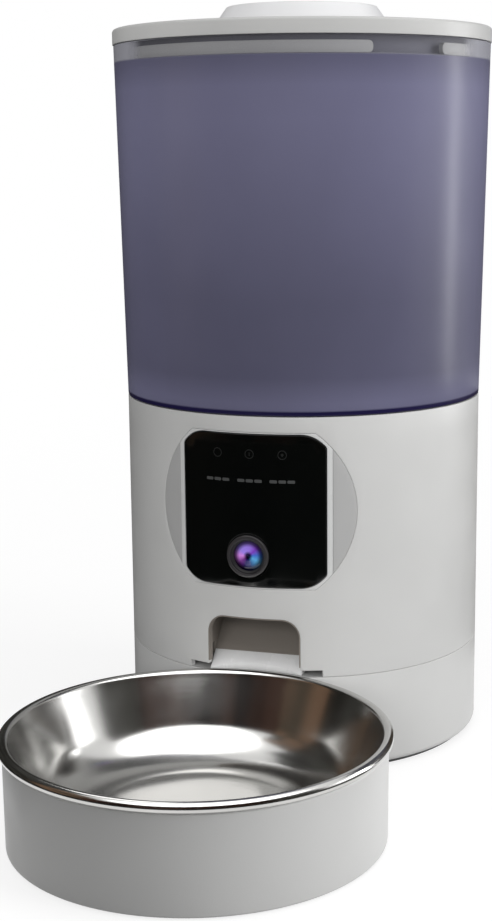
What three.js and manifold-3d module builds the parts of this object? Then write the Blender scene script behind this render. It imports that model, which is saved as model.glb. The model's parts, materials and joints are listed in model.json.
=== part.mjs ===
// Camera pet feeder: a round tower with a see-through food tank, a curved camera panel,
// a metering rotor over a chute, and a steel bowl in a holder that docks into the tower.
// Units are millimetres. +Z is up and the front, with the bowl, faces -Y.
import * as THREE from 'three';
import { mergeVertices } from 'three/addons/utils/BufferGeometryUtils.js';
import Module from 'manifold-3d';

const wasm = await Module();
wasm.setup();

// Finish of the curves
const round_segments = 48;
const middle_segments = 24;
const small_segments = 12;
const screw_segments = 8;
const curve_steps = 4;
const vertex_merge = 0.0005;

// Clearances shared by all pieces
const seat_gap = 0.3;
const slide_gap = 0.4;
const overrun = 5;

// Tower: outer size and the heights of its storeys
const tower_radius = 93;
const tower_wall = 3;
const foot_height = 4.8;
const wiring_space = 6.9;
const upper_height = 129.9;
const tank_height = 178.3;
const lid_height = 7.6;
const knob_height = 11.1;

// Foot ring and bottom plate
const foot_inset = 4;
const foot_width = 9;
const foot_chamfer = 0.8;
const plate_thickness = 2.7;
const plate_edge_gap = 0.4;

// Lower shell
const lower_edge_radius = 6;
const flange_width = 23;
const flange_thickness = 2.6;
const deck_thickness = 2.5;
const register_height = 3;
const register_width = 2.6;
const wire_hole_radius = 8;

// Recess in which the bowl holder docks
const dock_depth = 9.1;
const dock_gap = 4.3;
const dock_roof_gap = 2.3;

// Bowl holder with its tongue
const holder_radius = 86.7;
const holder_draft = 0.3;
const holder_wall = 2.5;
const holder_height = 45.8;
const holder_ground_gap = 0.8;
const holder_edge = 0.9;
const holder_floor = 3;
const holder_floor_thickness = 2.4;
const holder_floor_width = 41.7;
const tongue_half_width = 25;
const tongue_thickness = 3;
const tongue_speaker_gap = 3.9;
const tongue_corner = 8;
const holder_foot_radius = 6;
const holder_foot_inset = 16.7;
const holder_foot_first_degrees = 45;
const holder_foot_count = 4;

// Steel bowl
const bowl_sheet = 1;
const bead_radius = 2.55;
const bead_first_degrees = 195;
const bead_sweep_degrees = 330;
const bead_steps = 6;
const rim_overhang = 2.3;
const bowl_draft_degrees = 22;
const bowl_base_gap = 3.8;
const bowl_corner_radius = 30;
const bowl_corner_steps = 6;

// Battery bay, cells and door
const cell_radius = 16.4;
const cell_length = 58;
const cell_nub_radius = 4.5;
const cell_nub_height = 1.6;
const cell_gap = 0.8;
const bay_wall = 2;
const bay_back_shift = 14;
const bay_plate_edge = 4;
const bay_end_space = 1.6;
const contact_thickness = 0.6;
const door_lap = 1.2;
const door_rib_height = 0.6;
const door_rib_count = 4;
const door_rib_width = 1.6;
const door_rib_pitch = 4.5;
const door_rib_length = 26;

// Speaker behind slots in the bottom plate
const speaker_radius = 18;
const speaker_height = 11;
const speaker_magnet_radius = 10;
const speaker_magnet_height = 6;
const speaker_bay_gap = 2.6;
const speaker_field_radius = 13;
const speaker_slot_width = 2.4;
const speaker_slot_pitch = 5.2;

// Power inlet and its board at the back
const inlet_width = 11.4;
const inlet_height = 6.4;
const inlet_depth = 15;
const inlet_rise = 17.9;
const inlet_socket_width = 9;
const inlet_socket_height = 3.4;
const inlet_socket_depth = 9;
const power_board_width = 44;
const power_board_depth = 18;
const board_thickness = 1.6;
const board_post_radius = 2.6;

// Screws
const screw_radius = 1.5;
const screw_head_radius = 3;
const screw_head_height = 1.1;
const screw_length = 9;
const plate_screw_inset = 4.6;
const plate_screw_front_degrees = 45;
const deck_screw_inset = 3.6;
const deck_screw_count = 4;
const deck_screw_first_degrees = 45;
const boss_radius = 4.4;
const boss_height = 12;

// Panel, its round trim and the camera
const panel_top_gap = 8.6;
const panel_chute_gap = 16.1;
const panel_half_width = 36.7;
const panel_circle_rise = 10.4;
const panel_thickness = 2.1;
const panel_proud = 0.3;
const trim_width = 1.6;
const trim_back_lap = 3;
const trim_sink = 0.1;
const trim_back_thickness = 2.2;
const camera_side = -1.5;
const camera_rise = 15.4;
const ring_radius = 10.6;
const ring_bore = 7.8;
const ring_proud = 1.3;
const ring_depth = 5.5;
const lens_sink = 0.6;
const lens_thickness = 2.4;
const lens_crown = 1;
const module_length = 11;
const module_board = 26;
const control_board_width = 62;
const control_board_trim_gap = 1;
const control_board_camera_gap = 6.1;
const control_board_edge_gap = 5;

// Chute
const chute_half_width = 24;
const chute_top = 29.2;
const chute_corner = 9.5;
const chute_wall = 2;
const ramp_foot_inset = 13.5;
const ramp_foot_rise = 7.9;
const ramp_top_lead = 7;
const ramp_top_drop = 2;
const throat_back_spare = 1;
const throat_front_spare = 3;
const roof_climb = 20.8;
const roof_lead = 5;
const lip_front_gap = 0.5;
const lip_length = 7.5;
const lip_side_gap = 0.3;

// Metering well, its guard and the rotor
const ledge_below_rim = 7.6;
const ledge_width = 6;
const ledge_thickness = 2.6;
const well_wall = 2.4;
const well_flange = 2.6;
const well_mouth_inset = 4;
const well_funnel_width = 26;
const well_funnel_drop = 12;
const well_cup_depth = 22;
const outlet_half_width = 22.5;
const outlet_inset = 6;
const outlet_gearbox_gap = 11.5;
const rotor_edge_gap = 1.4;
const rotor_floor_gap = 0.6;
const rotor_hub_radius = 10;
const rotor_hub_height = 19;
const rotor_cone_height = 9;
const rotor_cone_tip = 3;
const vane_count = 6;
const vane_height = 16.5;
const vane_thickness = 2.4;
const vane_sweep_degrees = 24;
const vane_steps = 8;
const guard_half_degrees = 40;
const guard_thickness = 2.2;
const guard_rise = 1.2;
const guard_inner_radius = 15;
const dog_radius = 4.2;
const dog_sides = 6;
const dog_length = 12;
const dog_bore_depth = 9;

// Gear motor
const gearbox_radius = 18.5;
const gearbox_height = 22;
const ear_half_length = 30;
const ear_half_width = 10;
const ear_thickness = 2.4;
const motor_radius = 14;
const motor_height = 29;

// Tank
const tank_flare = 3.6;
const tank_wall = 2.2;
const collar_depth = 4.4;
const collar_wall = 2.5;
const tank_sill = 3;

// Lid, its liner and the cam lock
const lid_overhang = 0.5;
const lid_plate = 3;
const lid_edge_radius = 1.5;
const liner_wall = 2.4;
const liner_below = 9.2;
const lock_travel = 3;
const lock_turn_degrees = 60;
const lock_count = 3;
const lock_arc_degrees = 95;
const lock_first_degrees = -10.5;
const lock_thickness = 2.4;
const lock_height = 5.8;
const lock_rise = 0.7;
const arm_width = 12;
const arm_thickness = 2.5;
const arm_inner = 24;
const pin_radius = 2;
const pin_place = 30;
const pin_clearance = 0.3;
const cam_radius = 38;
const cam_thickness = 2.4;
const cam_slot_spare_degrees = 5;
const cam_slot_steps = 6;
const cam_hub_radius = 9.5;
const liner_boss_inset = 22;
const liner_boss_radius = 4;
const spindle_radius = 6;
const knob_radius = 45.5;
const knob_top_radius = 38.5;
const knob_skirt = 1.5;
const knob_top_edge = 1.5;
const knob_bar_width = 23;
const knob_well_radius = 33;
const knob_well_depth = 8;

// Levels, worked out from the storeys
const lower_bottom = foot_height + seat_gap;
const cell_level = lower_bottom + cell_radius + seat_gap;
const bay_roof_underside = cell_level + cell_radius + seat_gap;
const lower_top = bay_roof_underside + bay_wall + wiring_space + deck_thickness;
const upper_bottom = lower_top + seat_gap;
const upper_top = upper_bottom + upper_height;
const tank_bottom = upper_top + seat_gap;
const tank_top = tank_bottom + tank_height;
const lid_bottom = tank_top + seat_gap;
const lid_top = lid_bottom + lid_height;
const knob_bottom = lid_top + seat_gap;
const knob_top = knob_bottom + knob_height;

// Radii, worked out from the tower and the holder
const tower_inner = tower_radius - tower_wall;
const foot_radius = tower_radius - foot_inset;
const flange_inner_radius = tower_radius - flange_width;
const plate_radius = foot_radius - foot_width - plate_edge_gap;
const lid_radius = tower_radius + tank_flare + lid_overhang;
const rim_radius = holder_radius + rim_overhang;
const dock_radius = holder_radius + dock_gap;
const bowl_distance = tower_radius + dock_radius - dock_depth;
const dock_front = tower_radius - dock_depth;
const dock_roof = holder_height + seat_gap + 2 * bead_radius + dock_roof_gap;
const depth_centre = (lid_radius - bowl_distance - rim_radius) / 2;

// Battery bay: as many cells side by side as the bottom plate has room for
const bay_inner_length = cell_length + cell_nub_height + 2 * bay_end_space;
const bay_front = bay_back_shift - bay_inner_length / 2 - bay_wall;
const bay_rear = bay_back_shift + bay_inner_length / 2 + bay_wall;
const cell_pitch = 2 * cell_radius + cell_gap;
const door_opening_lap = door_lap + slide_gap;
const door_opening_rear = bay_back_shift + bay_inner_length / 2 + door_opening_lap;
const bay_room = 2 * Math.sqrt((plate_radius - bay_plate_edge) ** 2 - door_opening_rear ** 2);
const cell_count = Math.floor((bay_room - cell_gap - 2 * door_opening_lap) / cell_pitch);
const bay_inner_width = cell_count * cell_pitch + cell_gap;
const bay_half_width = bay_inner_width / 2 + bay_wall;

// Places of the speaker, the inlet and the screws
const speaker_front = speaker_bay_gap + speaker_radius - bay_front;
const inlet_level = lower_bottom + inlet_rise;
const plate_screw_place = plate_radius - plate_screw_inset;
const deck_screw_place = tower_inner - deck_screw_inset;

// Panel between the chute's opening and the top edge of the housing
const panel_half_height = (upper_height - chute_top - panel_chute_gap - panel_top_gap) / 2;
const panel_level = upper_top - panel_top_gap - panel_half_height;
const panel_corner_circle = panel_half_height + panel_circle_rise;
const trim_circle = panel_corner_circle + trim_width;
const trim_back_circle = trim_circle + trim_back_lap;
const camera_level = panel_level - panel_half_height + camera_rise;

// Metering well, its outlet and the chute under it
const well_mouth_radius = tower_inner - well_mouth_inset;
const well_cup_radius = well_mouth_radius - well_funnel_width;
const outlet_front = well_cup_radius - outlet_inset;
const outlet_back = gearbox_radius + outlet_gearbox_gap;
const throat_back = outlet_back - throat_back_spare;
const throat_front = outlet_front + throat_front_spare;
const roof_bend_front = throat_front + roof_lead;
const roof_bend_rise = chute_top + roof_climb;
const ramp_top_back = throat_back + ramp_top_lead;
const ramp_top_rise = roof_bend_rise - ramp_top_drop;
const ramp_foot_front = tower_radius - ramp_foot_inset;
const ramp_slope = (ramp_top_rise - ramp_foot_rise) / (ramp_foot_front - ramp_top_back);
const lip_back = ramp_foot_front - lip_length;

// Materials
const finishes = {
  white: { color: 0xd9d9d6, roughness: 0.45, metalness: 0 },
  lip: { color: 0xe4e4e2, roughness: 0.2, metalness: 0 },
  trim: { color: 0xb9b9b6, roughness: 0.4, metalness: 0 },
  black: { color: 0x08080a, roughness: 0.12, metalness: 0 },
  dark: { color: 0x54524c, roughness: 0.6, metalness: 0 },
  grey: { color: 0x77777a, roughness: 0.35, metalness: 0 },
  tank: { color: 0x6f75a0, roughness: 0.25, metalness: 0, transparent: true, opacity: 0.6 },
  lens: { color: 0x4b3aa8, roughness: 0.05, metalness: 0 },
  steel: { color: 0xc4c4c2, roughness: 0.2, metalness: 1 },
  rubber: { color: 0x4a4a4a, roughness: 0.8, metalness: 0 },
  vane: { color: 0x5d6670, roughness: 0.6, metalness: 0 },
  board: { color: 0x1f5a36, roughness: 0.5, metalness: 0 },
  cell: { color: 0x8a6a2c, roughness: 0.4, metalness: 0.3 },
};

function rad(degrees) {
  return THREE.MathUtils.degToRad(degrees);
}

// A closed geometry becomes a solid whose faces point out
function solid(geometry) {
  const bare = geometry.clone();
  bare.deleteAttribute('normal');
  bare.deleteAttribute('uv');
  const merged = mergeVertices(bare, vertex_merge);
  const corners = merged.attributes.position.array;
  const faces = [];
  let volume = 0;
  for (let i = 0; i < merged.index.count; i += 3) {
    const [a, b, c] = merged.index.array.slice(i, i + 3);
    if (a === b || b === c || c === a) continue;
    faces.push(a, b, c);
    const points = [a, b, c].map((k) => new THREE.Vector3().fromArray(corners, 3 * k));
    volume += points[0].dot(points[1].clone().cross(points[2]));
  }
  if (volume < 0) faces.reverse();
  const mesh = new wasm.Mesh({
    numProp: 3,
    vertProperties: new Float32Array(corners),
    triVerts: new Uint32Array(faces),
  });
  return new wasm.Manifold(mesh);
}

// A profile of [radius, level] points turned about the Z axis
function revolve(profile, segments = round_segments) {
  const points = profile.map(([radius, level]) => new THREE.Vector2(radius, level));
  const first = points[0];
  const last = points[points.length - 1];
  if (first.x > 0 || last.x > 0) points.push(first.clone());
  const geometry = new THREE.LatheGeometry(points, segments);
  geometry.rotateX(Math.PI / 2);
  return solid(geometry);
}

function ring(inner, outer, low, high, segments = round_segments) {
  return revolve([[inner, low], [outer, low], [outer, high], [inner, high]], segments);
}

function disc(radius, low, high, segments = round_segments) {
  return revolve([[0, low], [radius, low], [radius, high], [0, high]], segments);
}

function block(low, high) {
  const size = high.map((value, i) => value - low[i]);
  const geometry = new THREE.BoxGeometry(...size);
  geometry.translate(...low.map((value, i) => value + size[i] / 2));
  return solid(geometry);
}

function outline(points) {
  return new THREE.Shape(points.map(([across, up]) => new THREE.Vector2(across, up)));
}

// A shape drawn in XY, standing from one level to another
function prism(shape, low, high) {
  const settings = { depth: high - low, bevelEnabled: false, curveSegments: curve_steps };
  const geometry = new THREE.ExtrudeGeometry(shape, settings);
  geometry.translate(0, 0, low);
  return solid(geometry);
}

// A shape drawn in XZ, pushed along Y between two depths
function prismAlongY(shape, low, high) {
  const settings = { depth: high - low, bevelEnabled: false, curveSegments: curve_steps };
  const geometry = new THREE.ExtrudeGeometry(shape, settings);
  geometry.rotateX(Math.PI / 2);
  geometry.translate(0, high, 0);
  return solid(geometry);
}

// A shape drawn in YZ, pushed along X between two places
function prismAlongX(shape, low, high) {
  const settings = { depth: high - low, bevelEnabled: false, curveSegments: curve_steps };
  const geometry = new THREE.ExtrudeGeometry(shape, settings);
  geometry.applyMatrix4(new THREE.Matrix4().set(0, 0, 1, 0, 1, 0, 0, 0, 0, 1, 0, 0, 0, 0, 0, 1));
  geometry.translate(low, 0, 0);
  return solid(geometry);
}

function rodAlongY(radius, low, high, across, level, segments = small_segments) {
  const geometry = new THREE.CylinderGeometry(radius, radius, high - low, segments);
  geometry.translate(across, (low + high) / 2, 0);
  geometry.translate(0, 0, level);
  return solid(geometry);
}

function rodAlongZ(radius, low, high, across = 0, along = 0, segments = small_segments) {
  const geometry = new THREE.CylinderGeometry(radius, radius, high - low, segments);
  geometry.rotateX(Math.PI / 2);
  geometry.translate(across, along, (low + high) / 2);
  return solid(geometry);
}

// A closed path of points moved outwards by a distance, with sharp corners
function grown(points, distance) {
  const vectors = points.map((point) => new THREE.Vector2(...point));
  const sign = THREE.ShapeUtils.area(vectors) > 0 ? 1 : -1;
  return vectors.map((point, i) => {
    const before = point.clone().sub(vectors[(i + vectors.length - 1) % vectors.length]).normalize();
    const after = vectors[(i + 1) % vectors.length].clone().sub(point).normalize();
    const normals = [before, after].map((edge) => new THREE.Vector2(edge.y, -edge.x).multiplyScalar(sign));
    const middle = normals[0].clone().add(normals[1]).normalize();
    const reach = distance / middle.dot(normals[0]);
    return [point.x + middle.x * reach, point.y + middle.y * reach];
  });
}

function roundedRectangle(half_width, half_height, corner, centre_level = 0) {
  const shape = new THREE.Shape();
  const right = half_width - corner;
  const high = half_height - corner;
  shape.absarc(right, centre_level + high, corner, 0, Math.PI / 2);
  shape.absarc(-right, centre_level + high, corner, Math.PI / 2, Math.PI);
  shape.absarc(-right, centre_level - high, corner, Math.PI, 3 * Math.PI / 2);
  shape.absarc(right, centre_level - high, corner, 3 * Math.PI / 2, 2 * Math.PI);
  shape.closePath();
  return shape;
}

// A circle whose top and bottom are cut off level
function flatSidedCircle(radius, half_height, centre_level) {
  const shape = new THREE.Shape();
  const edge = Math.asin(half_height / radius);
  shape.absarc(0, centre_level, radius, -edge, edge);
  shape.absarc(0, centre_level, radius, Math.PI - edge, Math.PI + edge);
  shape.closePath();
  return shape;
}

function rotated(body, degrees) {
  return body.rotate([0, 0, degrees]);
}

function moved(body, across, along, up) {
  return body.translate([across, along, up]);
}

const feeder = new THREE.Group();

function addPiece(parent, name, body, finish, place = [0, 0, 0], turn_degrees = 0) {
  const found = body.getMesh();
  const geometry = new THREE.BufferGeometry();
  geometry.setAttribute('position', new THREE.BufferAttribute(new Float32Array(found.vertProperties), 3));
  geometry.setIndex(new THREE.BufferAttribute(new Uint32Array(found.triVerts), 1));
  const material = new THREE.MeshStandardMaterial({ ...finishes[finish], flatShading: true });
  const mesh = new THREE.Mesh(geometry, material);
  mesh.name = name;
  mesh.position.set(...place);
  mesh.rotation.z = rad(turn_degrees);
  parent.add(mesh);
}

// The upright cylinder that the docked bowl needs, cut out of the tower
function dockCut(radius, low, high) {
  return moved(disc(radius, low, high), 0, -bowl_distance, 0);
}

// Screw with a low head, head down, the underside of the head at level zero
function screw(length, head_radius) {
  const head = disc(head_radius, -screw_head_height, 0, screw_segments);
  return head.add(disc(screw_radius, -screw_head_height / 2, length, screw_segments));
}

function screwHole(low, high, across, along) {
  return rodAlongZ(screw_radius + seat_gap, low, high, across, along, screw_segments);
}

function ringPlaces(count, radius, first_degrees) {
  const places = [];
  for (let i = 0; i < count; i += 1) {
    const angle = rad(first_degrees + i * 360 / count);
    places.push([radius * Math.sin(angle), -radius * Math.cos(angle)]);
  }
  return places;
}

const plate_bottom = foot_height - plate_thickness;
const plate_screw_places = plateScrewPlaces();
const deck_screw_places = ringPlaces(deck_screw_count, deck_screw_place, deck_screw_first_degrees);

// A pair of screws at the front and a pair behind the battery bay
function plateScrewPlaces() {
  const front_angle = rad(plate_screw_front_degrees);
  const front_across = plate_screw_place * Math.sin(front_angle);
  const front_along = -plate_screw_place * Math.cos(front_angle);
  const rear_along = bay_rear + boss_radius + seat_gap;
  const rear_across = Math.sqrt(plate_screw_place ** 2 - rear_along ** 2);
  return [
    [front_across, front_along],
    [rear_across, rear_along],
    [-rear_across, rear_along],
    [-front_across, front_along],
  ];
}

function footRing() {
  const inner = foot_radius - foot_width;
  const profile = [
    [inner, 0],
    [foot_radius - foot_chamfer, 0],
    [foot_radius, foot_chamfer],
    [foot_radius, foot_height],
    [inner, foot_height],
  ];
  return revolve(profile).subtract(dockCut(dock_radius, -overrun, foot_height + overrun));
}

function bottomPlate() {
  let plate = disc(plate_radius, plate_bottom, foot_height);
  const half_width = bay_inner_width / 2 + door_opening_lap;
  const half_length = bay_inner_length / 2 + door_opening_lap;
  plate = plate.subtract(block(
    [-half_width, bay_back_shift - half_length, -overrun],
    [half_width, bay_back_shift + half_length, foot_height + overrun],
  ));
  for (const [across, along] of plate_screw_places) {
    plate = plate.subtract(screwHole(-overrun, foot_height + overrun, across, along));
    const counterbore = screw_head_radius + seat_gap;
    const seat = plate_bottom + screw_head_height + seat_gap;
    plate = plate.subtract(rodAlongZ(counterbore, -overrun, seat, across, along, screw_segments));
  }
  const side_slots = Math.floor((speaker_field_radius - speaker_slot_width) / speaker_slot_pitch);
  for (let i = -side_slots; i <= side_slots; i += 1) {
    const offset = i * speaker_slot_pitch;
    const reach = Math.sqrt(speaker_field_radius ** 2 - offset ** 2);
    plate = plate.subtract(block(
      [offset - speaker_slot_width / 2, -speaker_front - reach, -overrun],
      [offset + speaker_slot_width / 2, -speaker_front + reach, foot_height + overrun],
    ));
  }
  return plate;
}

function lowerShell() {
  const profile = [
    [0, lower_top - deck_thickness],
    [tower_inner, lower_top - deck_thickness],
    [tower_inner, lower_bottom + flange_thickness],
    [flange_inner_radius, lower_bottom + flange_thickness],
    [flange_inner_radius, lower_bottom],
  ];
  const edge_centre = tower_radius - lower_edge_radius;
  for (let i = 0; i <= curve_steps; i += 1) {
    const angle = (i / curve_steps) * Math.PI / 2;
    profile.push([
      edge_centre + lower_edge_radius * Math.sin(angle),
      lower_bottom + lower_edge_radius * (1 - Math.cos(angle)),
    ]);
  }
  profile.push([tower_radius, lower_top], [0, lower_top]);
  let shell = revolve(profile);

  const register_outer = tower_inner - seat_gap;
  const register_inner = register_outer - register_width;
  const register_top = lower_top + register_height;
  const register = ring(register_inner, register_outer, lower_top - deck_thickness / 2, register_top);
  const register_gap = chute_half_width + boss_radius * 2;
  shell = shell.add(register.subtract(block(
    [-register_gap, -tower_radius, lower_bottom],
    [register_gap, 0, register_top + overrun],
  )));

  shell = shell.subtract(dockCut(dock_radius, -overrun, lower_top + overrun));
  const dock_wall = dockCut(dock_radius + tower_wall, lower_bottom, lower_top);
  const dock_space = dockCut(dock_radius, -overrun, lower_top + overrun);
  const tower_body = disc(tower_inner + tower_wall / 2, lower_bottom, lower_top);
  shell = shell.add(dock_wall.subtract(dock_space).intersect(tower_body));

  const slot_low = lower_bottom + flange_thickness;
  const slot_high = slot_low + tongue_thickness + 2 * slide_gap;
  shell = shell.subtract(block(
    [-tongue_half_width - slide_gap, -tower_radius, slot_low],
    [tongue_half_width + slide_gap, overrun + tower_wall - dock_front, slot_high],
  ));
  shell = shell.subtract(block(
    [-bay_half_width - seat_gap, bay_front - seat_gap, -overrun],
    [bay_half_width + seat_gap, bay_rear + seat_gap, lower_bottom + flange_thickness + overrun],
  ));
  const speaker_room = speaker_radius + seat_gap;
  shell = shell.subtract(rodAlongZ(speaker_room, -overrun, slot_high, 0, -speaker_front, middle_segments));
  shell = shell.subtract(block(
    [-inlet_width / 2 - seat_gap, tower_inner - overrun, inlet_level - inlet_height / 2 - seat_gap],
    [inlet_width / 2 + seat_gap, tower_radius + overrun, inlet_level + inlet_height / 2 + seat_gap],
  ));
  const post_top = inlet_level - inlet_height / 2 - 2 * seat_gap - board_thickness;
  for (const side of [-1, 1]) {
    const across = side * (power_board_width / 2 - board_post_radius);
    const along = flange_inner_radius + board_post_radius;
    const post_low = lower_bottom + flange_thickness / 2;
    shell = shell.add(rodAlongZ(board_post_radius, post_low, post_top, across, along));
  }
  for (const [across, along] of plate_screw_places) {
    const boss_top = lower_bottom + boss_height;
    shell = shell.add(rodAlongZ(boss_radius, lower_bottom, boss_top, across, along, screw_segments));
    const pilot_top = boss_top - flange_thickness / 2;
    shell = shell.subtract(screwHole(-overrun, pilot_top, across, along));
  }
  for (const [across, along] of deck_screw_places) {
    shell = shell.subtract(screwHole(lower_bottom + boss_height, lower_top + overrun, across, along));
    const hole = boss_radius + seat_gap;
    const hole_top = lower_top + boss_height;
    shell = shell.subtract(rodAlongZ(hole, lower_top, hole_top, across, along, screw_segments));
  }
  const deck_low = lower_top - deck_thickness - overrun;
  const wire_hole_along = bay_rear + wire_hole_radius;
  return shell.subtract(rodAlongZ(wire_hole_radius, deck_low, lower_top + overrun, 0, wire_hole_along));
}

function batteryBox() {
  const top = bay_roof_underside + bay_wall;
  const box = block([-bay_half_width, bay_front, lower_bottom], [bay_half_width, bay_rear, top]);
  return box.subtract(block(
    [-bay_inner_width / 2, bay_back_shift - bay_inner_length / 2, -overrun],
    [bay_inner_width / 2, bay_back_shift + bay_inner_length / 2, bay_roof_underside],
  ));
}

// Cell lying along Y with its nub towards +Y, its base at depth zero
function cell() {
  const body = rodAlongY(cell_radius, 0, cell_length, 0, 0, middle_segments);
  const nub_end = cell_length + cell_nub_height;
  return body.add(rodAlongY(cell_nub_radius, cell_length - cell_nub_height, nub_end, 0, 0));
}

// Contact strip along the bay's end with one dimple for each cell, on the side that faces the cells
function contactStrip(side) {
  const low = lower_bottom + bay_wall;
  const high = bay_roof_underside - bay_wall;
  const half = bay_inner_width / 2 - seat_gap;
  const back = side * seat_gap;
  const front = side * (seat_gap + contact_thickness);
  const depth_low = Math.min(back, front);
  const depth_high = Math.max(back, front);
  return block([-half, depth_low, low], [half, depth_high, high]);
}

function batteryDoor() {
  const half_width = bay_inner_width / 2 + door_lap;
  const half_length = bay_inner_length / 2 + door_lap;
  let door = block(
    [-half_width, -half_length, plate_bottom],
    [half_width, half_length, foot_height],
  );
  for (let i = 0; i < door_rib_count; i += 1) {
    const along = half_length - (i + 2) * door_rib_pitch;
    door = door.add(block(
      [-door_rib_length / 2, along, plate_bottom - door_rib_height],
      [door_rib_length / 2, along + door_rib_width, foot_height - plate_thickness / 2],
    ));
  }
  return door;
}

function speaker() {
  const low = foot_height + seat_gap;
  const rim_top = low + speaker_height - speaker_magnet_height;
  return disc(speaker_radius, low, rim_top, middle_segments)
    .add(disc(speaker_magnet_radius, rim_top - seat_gap, low + speaker_height, small_segments));
}

function powerInlet() {
  const outside = roundedRectangle(inlet_width / 2, inlet_height / 2, inlet_height / 3);
  const shell = prismAlongY(outside, -inlet_depth, 0);
  const socket = roundedRectangle(inlet_socket_width / 2, inlet_socket_height / 2, inlet_socket_height / 3);
  return shell.subtract(prismAlongY(socket, -inlet_socket_depth, overrun));
}

// Curved plate on the front of the tower: a flat outline pushed back onto the round wall
function curvedPlate(shape, inner, outer) {
  const low = -tower_radius - overrun;
  const high = -tower_radius / 2;
  const span = [upper_bottom, upper_top];
  return prismAlongY(shape, low, high).intersect(ring(inner, outer, ...span));
}

const trim_back_inner = tower_inner - seat_gap - trim_back_thickness;
const board_edge_depth = Math.sqrt(trim_back_inner ** 2 - (control_board_width / 2) ** 2);
const board_front = control_board_trim_gap - board_edge_depth;
const board_bottom = camera_level + module_board / 2 - ring_depth + control_board_camera_gap;
const board_top = panel_level + panel_half_height - control_board_edge_gap;

function panelOutline(grow) {
  const flat = prismAlongY(
    flatSidedCircle(panel_corner_circle + grow, panel_half_height + grow, panel_level),
    -tower_radius - overrun,
    -tower_radius / 2,
  );
  return flat.intersect(block(
    [-panel_half_width - grow, -tower_radius - overrun, upper_bottom],
    [panel_half_width + grow, 0, upper_top],
  ));
}

function panelTrim() {
  const outer = tower_radius - trim_sink;
  const front_shape = flatSidedCircle(trim_circle - seat_gap, panel_half_height + 2 * seat_gap, panel_level);
  const back_shape = flatSidedCircle(trim_back_circle, panel_half_height + 2 * seat_gap, panel_level);
  let trim = curvedPlate(front_shape, trim_back_inner, outer);
  trim = trim.add(curvedPlate(back_shape, trim_back_inner, tower_inner - seat_gap));
  const pocket_floor = tower_radius + panel_proud - panel_thickness - seat_gap;
  const pocket = ring(pocket_floor, tower_radius + overrun, upper_bottom, upper_top);
  trim = trim.subtract(panelOutline(seat_gap).intersect(pocket));
  const post_across = control_board_width / 2 - board_post_radius;
  const post_start = -board_edge_depth - board_post_radius / 2;
  for (const across of [-post_across, post_across]) {
    for (const level of [board_bottom + board_post_radius, board_top - board_post_radius]) {
      trim = trim.add(rodAlongY(board_post_radius, post_start, board_front - seat_gap, across, level));
    }
  }
  return trim.subtract(cameraHole(ring_radius + seat_gap));
}

// Round body on the camera's axis
function cameraRod(radius, low, high) {
  return rodAlongY(radius, low, high, camera_side, camera_level, middle_segments);
}

function cameraHole(radius) {
  return cameraRod(radius, -tower_radius - overrun, -tower_radius / 2);
}

function touchPanel() {
  const outer = tower_radius + panel_proud;
  const skin = ring(outer - panel_thickness, outer, upper_bottom, upper_top);
  return panelOutline(0).intersect(skin).subtract(cameraHole(ring_radius + seat_gap));
}

const ring_front = tower_radius + panel_proud + ring_proud;

function cameraRing() {
  return cameraRod(ring_radius, -ring_front, ring_depth - ring_front).subtract(cameraHole(ring_bore));
}

// Lens with a crowned front, turned about its own axis and laid along Y
function cameraLens() {
  const radius = ring_bore - seat_gap;
  const profile = [[0, 0], [radius, 0], [radius, lens_thickness - lens_crown]];
  for (let i = 1; i <= curve_steps; i += 1) {
    const angle = (i / curve_steps) * Math.PI / 2;
    const reach = i === curve_steps ? 0 : radius * Math.cos(angle);
    profile.push([reach, lens_thickness - lens_crown * (1 - Math.sin(angle))]);
  }
  return revolve(profile, middle_segments).rotate([90, 0, 0]);
}

function cameraModule() {
  const front = lens_sink + lens_thickness + seat_gap - ring_front;
  const barrel = cameraRod(ring_bore - 2 * seat_gap, front, front + module_length);
  const half = module_board / 2;
  return barrel.add(block(
    [camera_side - half, front + module_length - board_thickness, camera_level - half],
    [camera_side + half, front + module_length, camera_level + half - ring_depth],
  ));
}

function controlBoard() {
  const half_width = control_board_width / 2;
  return block(
    [-half_width, board_front, board_bottom],
    [half_width, board_front + board_thickness, board_top],
  );
}

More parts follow.
